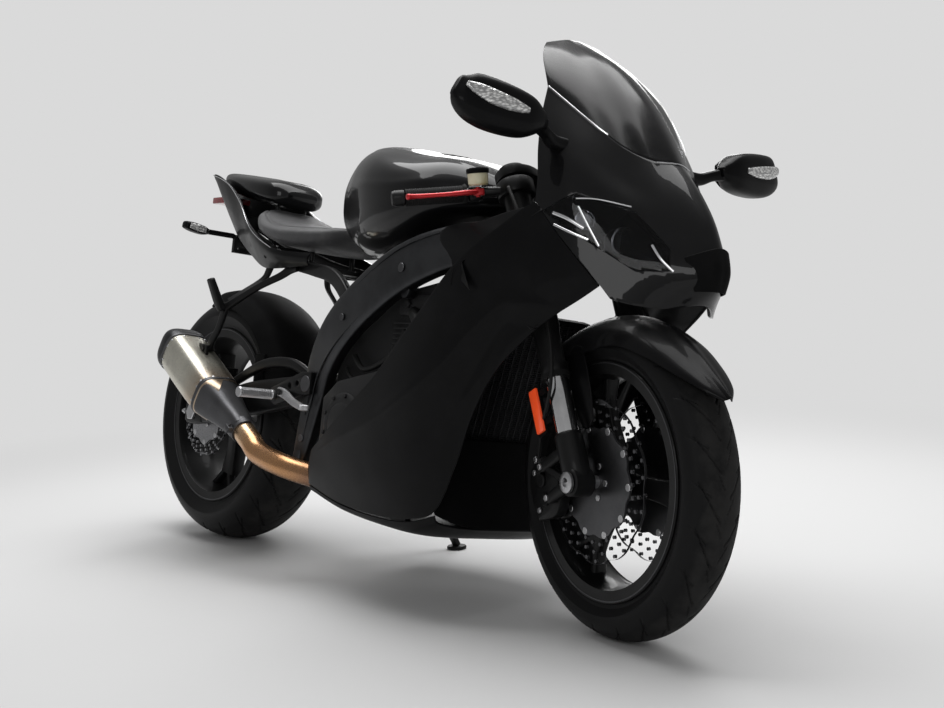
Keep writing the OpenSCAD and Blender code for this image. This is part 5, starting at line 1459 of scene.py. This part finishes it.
AT_JOINT = Matrix.Translation(clamp_at) @ MUFFLER_DIR.to_track_quat("Z", "Y").to_matrix().to_4x4()
piece("exhaust_pipe", *pipe(link, 54, 48, 10), "chassis", looks["heat_tinted"], "heat_tinted",
      "exhaust_pipe", smooth_angle=50)
piece("exhaust_joint",
      *moved(join_parts(lathe([(27, -14), (31, -14), (32, -12), (32, 8), (30, 10), (27, 10)], 48, axis="Z"),
                                         box_part((28, -7, -12), (44, 7, 8), 2),
                        rod(3.5, 26, (38, 0, -2), "Y", 1, 6)), AT_JOINT),
      "chassis", looks["dark_steel"], "black_metal")
hanger = [plate([(112, 446), (146, 452), (148, 496), (108, 500)], [circle(128, 488, 6.3)], 8, -210, 1.5),
          rod(6, 28, (128, -196, 488)), rod(9, 6, (128, -214, 488), "Y", 1.5, 6)]
piece("muffler_hanger", *join_parts(*hanger), "chassis", looks["black_metal"], "black_metal")
print("exhaust made")

# %% [markdown]
# ## Mirrors, dash and radiator
# Each mirror is a hollowed shell on a stalk, with its glass behind and a clear signal lens ahead. The
# radiator's core is built from its fins and tubes.

# %% Mirrors and dash
stalk = [(1345, 120, 918, 28, 28), (1345, 170, 919, 28, 28), (1347, 204, 921, 26, 26),
         (1354, 232, 932, 22, 22), (1364, 262, 941, 24, 28)]
housing = [(1368, 248, 943, 22, 24), (1366, 262, 945, 40, 46), (1362, 288, 948, 56, 76),
           (1357, 330, 952, 60, 90), (1351, 380, 958, 58, 92), (1345, 416, 968, 48, 78),
           (1341, 436, 978, 22, 44)]
mirror = join_parts(bar(stalk, 3, 28, 8, (1, 0, 0)), bar(housing, 3.4, 48, 10, (1, 0, 0), 0.6))
piece("mirrors", *both(mirror), "chassis", looks["satin_black"], "satin_black", "mirrors", smooth_angle=42)
glass = [(1338, 262, 945, 3, 34), (1333, 290, 948, 3, 62), (1328, 330, 952, 3, 76), (1323, 380, 958, 3, 78),
         (1322, 414, 968, 3, 62), (1325, 428, 975, 3, 34)]
piece("mirror_glass", *both(bar(glass, 3.4, 32, 8, (1, 0, 0))), "chassis", looks["mirror_glass"],
      "silver_metal")
lens = [(1388, 306, 955, 10, 12), (1386, 340, 958, 14, 24), (1381, 380, 964, 14, 28),
        (1372, 412, 973, 12, 22), (1362, 430, 980, 8, 10)]
piece("mirror_signals", *both(bar(lens, 2.6, 24, 8, (1, 0, 0), 0.6)), "chassis", looks["signal_lens"],
      "lamp_clear")
dash_stay = bar([(1180, 0, 792, 36, 50), (1260, 0, 808, 34, 40), (1320, 0, 860, 34, 30),
                 (1345, 0, 918, 34, 28)], 5, 24, 6)
AT_DASH = Matrix.Translation((1290, 0, 930)) @ Matrix.Rotation(math.radians(-50), 4, "Y")
dash = [dash_stay, rod(14, 240, (1345, 0, 918)), moved(box_part((-50, -85, -14), (50, 85, 12), 7), AT_DASH)]
piece("instrument_panel", *join_parts(*dash), "chassis", looks["matt_black"], "matt_black",
      "instrument_panel")
piece("instrument_screen", *moved(box_part((-38, -62, 12), (40, 62, 14.5), 1), AT_DASH), "chassis",
      looks["dark_glass"], "smoked_screen")

AT_RADIATOR = Matrix.Translation((1062, 0, 470)) @ Matrix.Rotation(math.radians(14), 4, "Y")
tanks = [box_part((-14, y, -140), (14, y + 25, 150), 6) for y in (-175, 150)]
tanks += [box_part((-13, -152, -140), (13, 152, -130), 2), box_part((-13, -152, 140), (13, 152, 150), 2)]
piece("radiator", *moved(join_parts(*tanks, *[rod(14, 60, (-34, s * 90, -22), "X") for s in (-1, 1)]),
                         AT_RADIATOR), "chassis",
      looks["matt_black"], "matt_black", "radiator")
fins = [box_part((-9, -150, z), (9, 150, z + 1.6), 0.4) for z in np.arange(-129, 139, 4.4)]
rows = [box_part((-10, y, -131), (10, y + 2.4, 141), 0.5) for y in np.arange(-150, 149, 18.7)]
piece("radiator_core", *moved(join_parts(*fins, *rows, box_part((-2, -150, -131), (2, 150, 141), 0.5)),
                              AT_RADIATOR), "chassis",
      looks["radiator_core"], "matt_black")
print("mirrors, dash and radiator made")

# %% [markdown]
# ## Engine
# The engine's outside is what can be seen through the side: crankcase, covers with their ribs and
# bolts, cylinder block with cooling ribs, cam cover and hoses.

# %% Engine
CASE = [(612, 300), (680, 240), (760, 240), (800, 205), (900, 205), (985, 240), (1004, 300), (1004, 600),
        (960, 668), (800, 640), (690, 560), (612, 470)]
COVER = [(650, 300), (720, 245), (860, 225), (950, 260), (960, 420), (850, 470), (700, 440), (650, 400)]
case_parts = [plate(CASE, [], 268, 0, 9), plate(COVER, [], 384, 0, 10)]
case_parts += [both(rod(6, 40, (760, 212, 300))), both(rod(6, 48, (900, 216, 385)))]
case_parts += [lathe([(0.01, 140), (6, 140), (6, 212), (0.01, 212)], 24, (850, s * 70, 0), "Z")
               for s in (-1, 1)]
for x, z, r in ((740, 345, 62), (875, 345, 58)):
    case_parts.append(both(lathe([(0.01, 186), (r + 8, 186), (r + 8, 193), (r + 2, 198), (r - 6, 200),
                                  (r - 14, 199), (r - 20, 203), (0.01, 203)], 72, (x, 0, z))))
    for k in range(9):
        a = 2 * math.pi * k / 9
        case_parts.append(both(rod(5, 8, (x + (r + 1) * math.cos(a), 199, z + (r + 1) * math.sin(a)), "Y",
                                   1, 6)))
for k in range(9):
    z = 486 + k * 11
    case_parts.append(box_part((820 - 9 * max(0, 3 - k), -141, z), (1009, 141, z + 4.5), 1.5))
case_parts += [both(box_part((835, 120, 592), (985, 142, 640), 8)),
               both(rod(10, 12, (870, 143, 618), "Y", 2, 6)), both(rod(10, 12, (945, 143, 610), "Y", 2, 6))]
piece("engine", *join_parts(*case_parts), "chassis", looks["engine_metal"], "engine_metal", "engine")
hoses = [pipe([(900, s * 150, 600), (960, s * 168, 560), (1010, s * 160, 500), (1030, s * 140, 450)], 26,
              20, 8, (0, 0, 1))
         for s in (-1, 1)]
hoses += [pipe([(700, -150, 500), (760, -160, 470), (840, -158, 500), (880, -150, 560)], 12, 14, 8,
               (0, 0, 1)),
          pipe([(690, -150, 540), (740, -158, 560), (800, -154, 600)], 9, 12, 8, (0, 0, 1)),
          pipe([(660, -140, 470), (700, -158, 455), (750, -166, 430), (770, -170, 400)], 8, 12, 8,
               (0, 0, 1))]
piece("engine_hoses", *join_parts(*hoses), "chassis", looks["hose_black"], "rubber", smooth_angle=0)
bands = [lathe([(13, -5), (15, -5), (15, 5), (13, 5)], 24, (1000, s * 161, 512), "X") for s in (-1, 1)]
piece("hose_bands", *join_parts(*bands), "chassis", looks["silver_metal"], "silver_metal")
print("engine made")

# %% [markdown]
# ## Chain, footrests and small pieces
# The chain is made link by link round both sprockets, and the rear sprocket has a fixed count of 43 teeth.

# %% Chain and sprocket
SPROCKET_R, SPROCKET_Y = 100, 108.8
FRONT_SPROCKET = (635, 430)


def chain_line(grow, count=400):
    a, b = np.array((0, REAR_Z)), np.array(FRONT_SPROCKET)
    ra, rb = SPROCKET_R + 6 + grow, 36 + grow
    slope = math.atan2(b[1] - a[1], b[0] - a[0])
    spread = math.acos((ra - rb) / np.linalg.norm(b - a))
    arc = lambda c, r, t0, t1: [c + r * np.array((math.cos(t), math.sin(t)))
                                for t in np.linspace(t0, t1, 60)]
    line = np.array(arc(a, ra, slope + spread, slope + 2 * math.pi - spread) + arc(b, rb, slope - spread,
                                                                                   slope + spread))
    line = np.vstack([line, line[:1]])
    lengths = np.concatenate([[0], np.cumsum(np.linalg.norm(np.diff(line, axis=0), axis=1))])
    at = np.linspace(0, lengths[-1], count + 1)[:-1]
    return np.stack([np.interp(at, lengths, line[:, k]) for k in range(2)], 1)


LINKS = 112
middle = chain_line(7, LINKS)
links = []
for k in range(LINKS):
    a, b = middle[k], middle[(k + 1) % LINKS]
    turn = Matrix.Translation((a[0], SPROCKET_Y, a[1])) @ Matrix.Rotation(-math.atan2(b[1] - a[1],
                                                                                      b[0] - a[0]), 4, "Y")
    d = float(np.linalg.norm(b - a))
    wide = 6.3 if k % 2 else 4.4
    outline = ([(6.2 * math.cos(t), 6.2 * math.sin(t)) for t in np.linspace(math.pi / 2, 3 * math.pi / 2, 7)]
               + [(d / 2, -4.6)] + [(d + 6.2 * math.cos(t), 6.2 * math.sin(t))
                                    for t in np.linspace(-math.pi / 2, math.pi / 2, 7)]
               + [(d / 2, 4.6)])
    for side in (1, -1):
        flat = [(x, side * wide - 0.9, z) for x, z in outline] + [(x, side * wide + 0.9, z)
                                                                  for x, z in outline]
        n = len(outline)
        faces = [tuple(range(n)), tuple(range(2 * n - 1, n - 1, -1))] + [(j, n + j, n + (j + 1) % n,
                                                                          (j + 1) % n) for j in range(n)]
        links.append(moved((flat, faces), turn))
    links.append(moved(rod(4.6, 14.6, (0, 0, 0), "Y", 0.6, 10), turn))
piece("chain", *join_parts(*links), "chassis", looks["chain_steel"], "chain_steel", "chain", smooth_angle=30)

TEETH = 43
outline = []
for k in range(TEETH):
    for share, r in ((0.0, 93.5), (0.22, 95.0), (0.40, 99.6), (0.60, 99.6), (0.78, 95.0)):
        t = 2 * math.pi * (k + share) / TEETH
        outline.append((r * math.cos(t), REAR_Z + r * math.sin(t)))
holes = [circle(0, REAR_Z, 18.5, 40)]
holes += [circle(66 * math.cos(t), REAR_Z + 66 * math.sin(t), 16, 24)
          for t in (2 * math.pi * k / 6 for k in range(6))]
nuts = [rod(7, 7, (52 * math.cos(t), 115, REAR_Z + 52 * math.sin(t)), "Y", 1, 6)
        for t in (2 * math.pi * (k + 0.5) / 6 for k in range(6))]
piece("rear_sprocket", *join_parts(plate(outline, holes, 7, SPROCKET_Y, 1.2), *nuts), "rear_wheel",
      looks["dark_steel"], "black_metal", "rear_sprocket")
print("chain:", LINKS, "links;", TEETH, "teeth")

# %% [markdown]
# The rider's footrests are ribbed pegs on plates at the swingarm's pivot. The pillion's are folded up
# on thin struts, and the right one also carries the muffler.

# %% Footrests and pedals
PIVOT_HOLE = circle(565, 425, 13.3, 32)
bracket = [(585, 452), (545, 452), (420, 408), (416, 380), (440, 368), (545, 398), (585, 402)]
rest = [plate(bracket, [PIVOT_HOLE, circle(500, 417, 8), circle(530, 424, 7)], 10, 179, 2),
        rod(5, 26, (480, 187, 400)), rod(8, 20, (436, 182, 392)), rod(8, 4, (480, 200, 400), "Y", 1, 6)]
piece("rider_footrests", *both(join_parts(*rest)), "chassis", looks["black_metal"], "black_metal",
      "rider_footrests")
knurl = [(0.01, 184.5), (11, 184.5), (12, 187), (12, 192)]
for k in range(16):
    y = 194 + k * 5
    knurl += [(10.2, y), (11.6, y + 1), (11.6, y + 3), (10.2, y + 4)]
knurl += [(12, 275), (12.5, 278), (11, 281), (0.01, 281)]
piece("footrest_pegs", *both(lathe(knurl, 32, (436, 0, 392))), "chassis", looks["silver_metal"],
      "silver_metal", smooth_angle=30)
pedal = [(470, 192, 402, 12, 20), (500, 193, 396, 10, 22), (560, 206, 380, 8, 18), (620, 222, 372, 10, 16),
         (650, 236, 372, 26, 13)]
piece("foot_pedals", *both(bar(pedal, 4, 24, 8, (0, 1, 0), 0.6)), "chassis", looks["silver_metal"],
      "silver_metal")
hangers = [bar([(358, 107, 706, 10, 24), (330, 108, 700, 10, 24), (300, 116, 682, 10, 18),
                (240, 142, 650, 10, 16), (170, 168, 606, 12, 18), (140, 172, 592, 14, 30)], 5, 20, 8),
           bar([(206, 86, 722, 10, 20), (200, 88, 704, 10, 22), (192, 98, 676, 10, 18),
                (178, 138, 640, 10, 18), (158, 168, 610, 12, 20)], 5, 20, 8),
           bar([(150, 184, 590, 20, 20), (148, 196, 610, 24, 20), (144, 220, 660, 22, 16)], 4, 24, 8,
               (1, 0, 0), 0.6),
           rod(6, 14, (348, 116, 706), "Y", 1.2, 6), rod(6, 14, (200, 95, 722), "Y", 1.2, 6)]
strap = flipped(bar([(150, 172, 600, 12, 26), (140, 182, 540, 10, 20), (130, 191, 508, 10, 22),
                     (128, 191, 486, 10, 14)], 5, 20, 8))
piece("passenger_footrests", *join_parts(both(join_parts(*hangers)), strap), "chassis",
      looks["black_metal"], "black_metal", "passenger_footrests", smooth_angle=42)
print("footrests made")

# %% [markdown]
# The hugger keeps the road's dirt off the shock absorber. It and the rear caliper ride on the swingarm.

# %% Hugger, rear caliper and shock
hugger_rows = []
for t in (70, 60, 50, 40, 30, 20, 10, 0, -8):
    row = []
    for k in range(-3, 4):
        r = 336 - (0, 4, 18, 32 if k < 0 else 52)[abs(k)]
        y = math.copysign(1, k) * (0, 44, 80, 92 if k < 0 else 108)[abs(k)]
        a = math.radians(t)
        row.append((r * math.sin(a), -y, REAR_Z + r * math.cos(a)))
    hugger_rows.append(row)
surface_sheet("rear_hugger", hugger_rows, 4, "chassis", "matt_black", "matt_black", "rear_hugger", 4, 8)
piece("hugger_stay", *box_part((215, -112, REAR_Z + 65.6), (259, -105, REAR_Z + 165.6), 2), "chassis",
      looks["matt_black"], "matt_black")
caliper = [plate([(26, 344), (54, 334), (96, 348), (98, 440), (40, 444), (26, 420)],
                 [circle(62, 400, 8, 16)], t, y, 3)
           for y, t in ((-97, 12), (-117.5, 9))]
caliper += [box_part((60, -120, 428), (96, -86, 446), 4), rod(6, 6, (50, -124, 424), "Y", 1.2, 6),
            rod(6, 6, (88, -124, 360), "Y", 1.2, 6)]
piece("rear_caliper", *join_parts(*caliper), "chassis", looks["black_metal"], "black_metal", "rear_caliper")
AT_SHOCK = Matrix.Translation((500, 0, 456)) @ Matrix.Rotation(math.radians(54.3), 4, "Y")
shock = lathe([(0.01, -8), (16, -8), (16, 4), (24, 6), (24, 12), (13, 14), (13, 100), (24, 102), (24, 112),
               (15, 114), (15, 152), (0.01, 152)],
              40, axis="Z")
piece("shock_absorber", *moved(shock, AT_SHOCK), "chassis", looks["gold_metal"], "shock_metal",
      "shock_absorber")
coil = [(21 * math.cos(2 * math.pi * 7 * k / 167), 21 * math.sin(2 * math.pi * 7 * k / 167),
         14 + 86 * k / 167) for k in range(168)]
piece("shock_spring", *moved(pipe(coil, 7, 10, 1, (0, 0, 1)), AT_SHOCK), "chassis", looks["dark_steel"],
      "black_metal", smooth_angle=0)

# %% [markdown]
# The subframe's two rails carry the seats and the tail. The number plate's bracket stays bare, and the
# turn signals stand out on short stems.

# %% Subframe and rear lamps
cross = [both(rod(7, 30, (652, 148, 592))), both(rod(6, 60, (250, 106, 730))),
         both(rod(6, 24, (348, 106, 706))), both(rod(6, 24, (200, 84, 722))),
         box_part((330, -86, 704), (360, 86, 716), 2), box_part((115, -56, 760), (143, 56, 770), 2)]
for s in (-1, 1):
    cross += [lathe([(0.01, 710), (6, 710), (6, 775), (0.01, 775)], 20, (345, s * 60, 0), "Z"),
              lathe([(0.01, 765), (6, 765), (6, 905), (0.01, 905)], 20, (128, s * 40, 0), "Z")]
cross += [box_part((-78, -24, 796), (-66, 24, 860), 2)]
bracket_part = plate([(-45, 756), (45, 756), (45, 804), (-45, 804)], [circle(s * 30, 768, 3.3, 20)
                                                                      for s in (-1, 1)], 12, 0, 0.8)
bracket_part = [(-72 + v[1], v[0], v[2]) for v in bracket_part[0]], bracket_part[1]
piece("subframe", *join_parts(both(bar(RAIL, 5, 28, 10)), *cross, bracket_part), "chassis",
      looks["black_metal"], "black_metal", "subframe", smooth_angle=45)
piece("tail_lamp", *box_part((-230, -34, 896), (-140, 34, 914), 4), "chassis", looks["lamp_red"],
      "lamp_red", "rear_lights")
stems = [both(rod(7, 90, (-72, 90.3, 800))),
         both(bar([(-70, 128, 800, 18, 16), (-68, 146, 801, 32, 24), (-66, 176, 805, 34, 25),
                                                     (-64, 196, 808, 26, 20)], 3.2, 28, 8, (1, 0, 0), 0.6))]
piece("signal_bodies", *join_parts(*stems), "chassis", looks["satin_black"], "satin_black")
lenses = both(bar([(-86, 140, 801, 6, 16), (-88, 160, 803, 6, 20), (-84, 188, 807, 6, 16)], 3, 20, 8,
                  (1, 0, 0), 0.6))
piece("signal_lenses", *lenses, "chassis", looks["signal_lens"], "lamp_clear")
front_lens = both(bar([(-52, 142, 801, 4, 14), (-49, 164, 803, 4, 18), (-50, 188, 807, 4, 14)], 3, 20, 8,
                      (1, 0, 0), 0.6))
piece("signal_lenses_front", *front_lens, "chassis", looks["signal_lens"], "lamp_clear")
# bright metal strips along the tail cowl's edges: a painted highlight where the edges catch the light
edge = [(300, 151.5, 747), (220, 146, 776), (150, 133.5, 810), (85, 121, 862), (20, 106, 900),
        (-40, 95, 930), (-100, 85.5, 950), (-196, 57, 970)]
piece("tail_edge_highlights", *both(strip(edge, 3.5, 2.2, (0, 1, 0))), "chassis", looks["bright_edge"], "silver_metal")
print("tail made")

# %% Finish
SLOT_LOOK = {"gloss_black": "gloss_black", "satin_black": "satin_black", "matt_black": "matt_black",
             "black_metal": "black_metal", "grey_frame": "grey_frame", "silver_metal": "silver_metal",
             "polished_tube": "polished_tube", "disc_steel": "front_disc_steel", "titanium": "titanium",
             "heat_tinted": "heat_tinted", "red_metal": "red_metal", "rubber": "rubber", "tyre": "rubber",
             "seat_leather": "seat_leather", "smoked_screen": "smoked_screen", "lamp_clear": "lamp_tint",
             "lamp_red": "lamp_red", "engine_metal": "engine_metal", "chain_steel": "chain_steel",
             "shock_metal": "gold_metal"}
slots = {s["node"]: s["material_slot"] for s in frame["record"]["subparts"]}
for node, obj in frame["nodes"].items():
    finish = looks[SLOT_LOOK[slots[node]]]
    obj.data.materials.clear()
    obj.data.materials.append(finish)
    for polygon in obj.data.polygons:
        polygon.material_index = 0
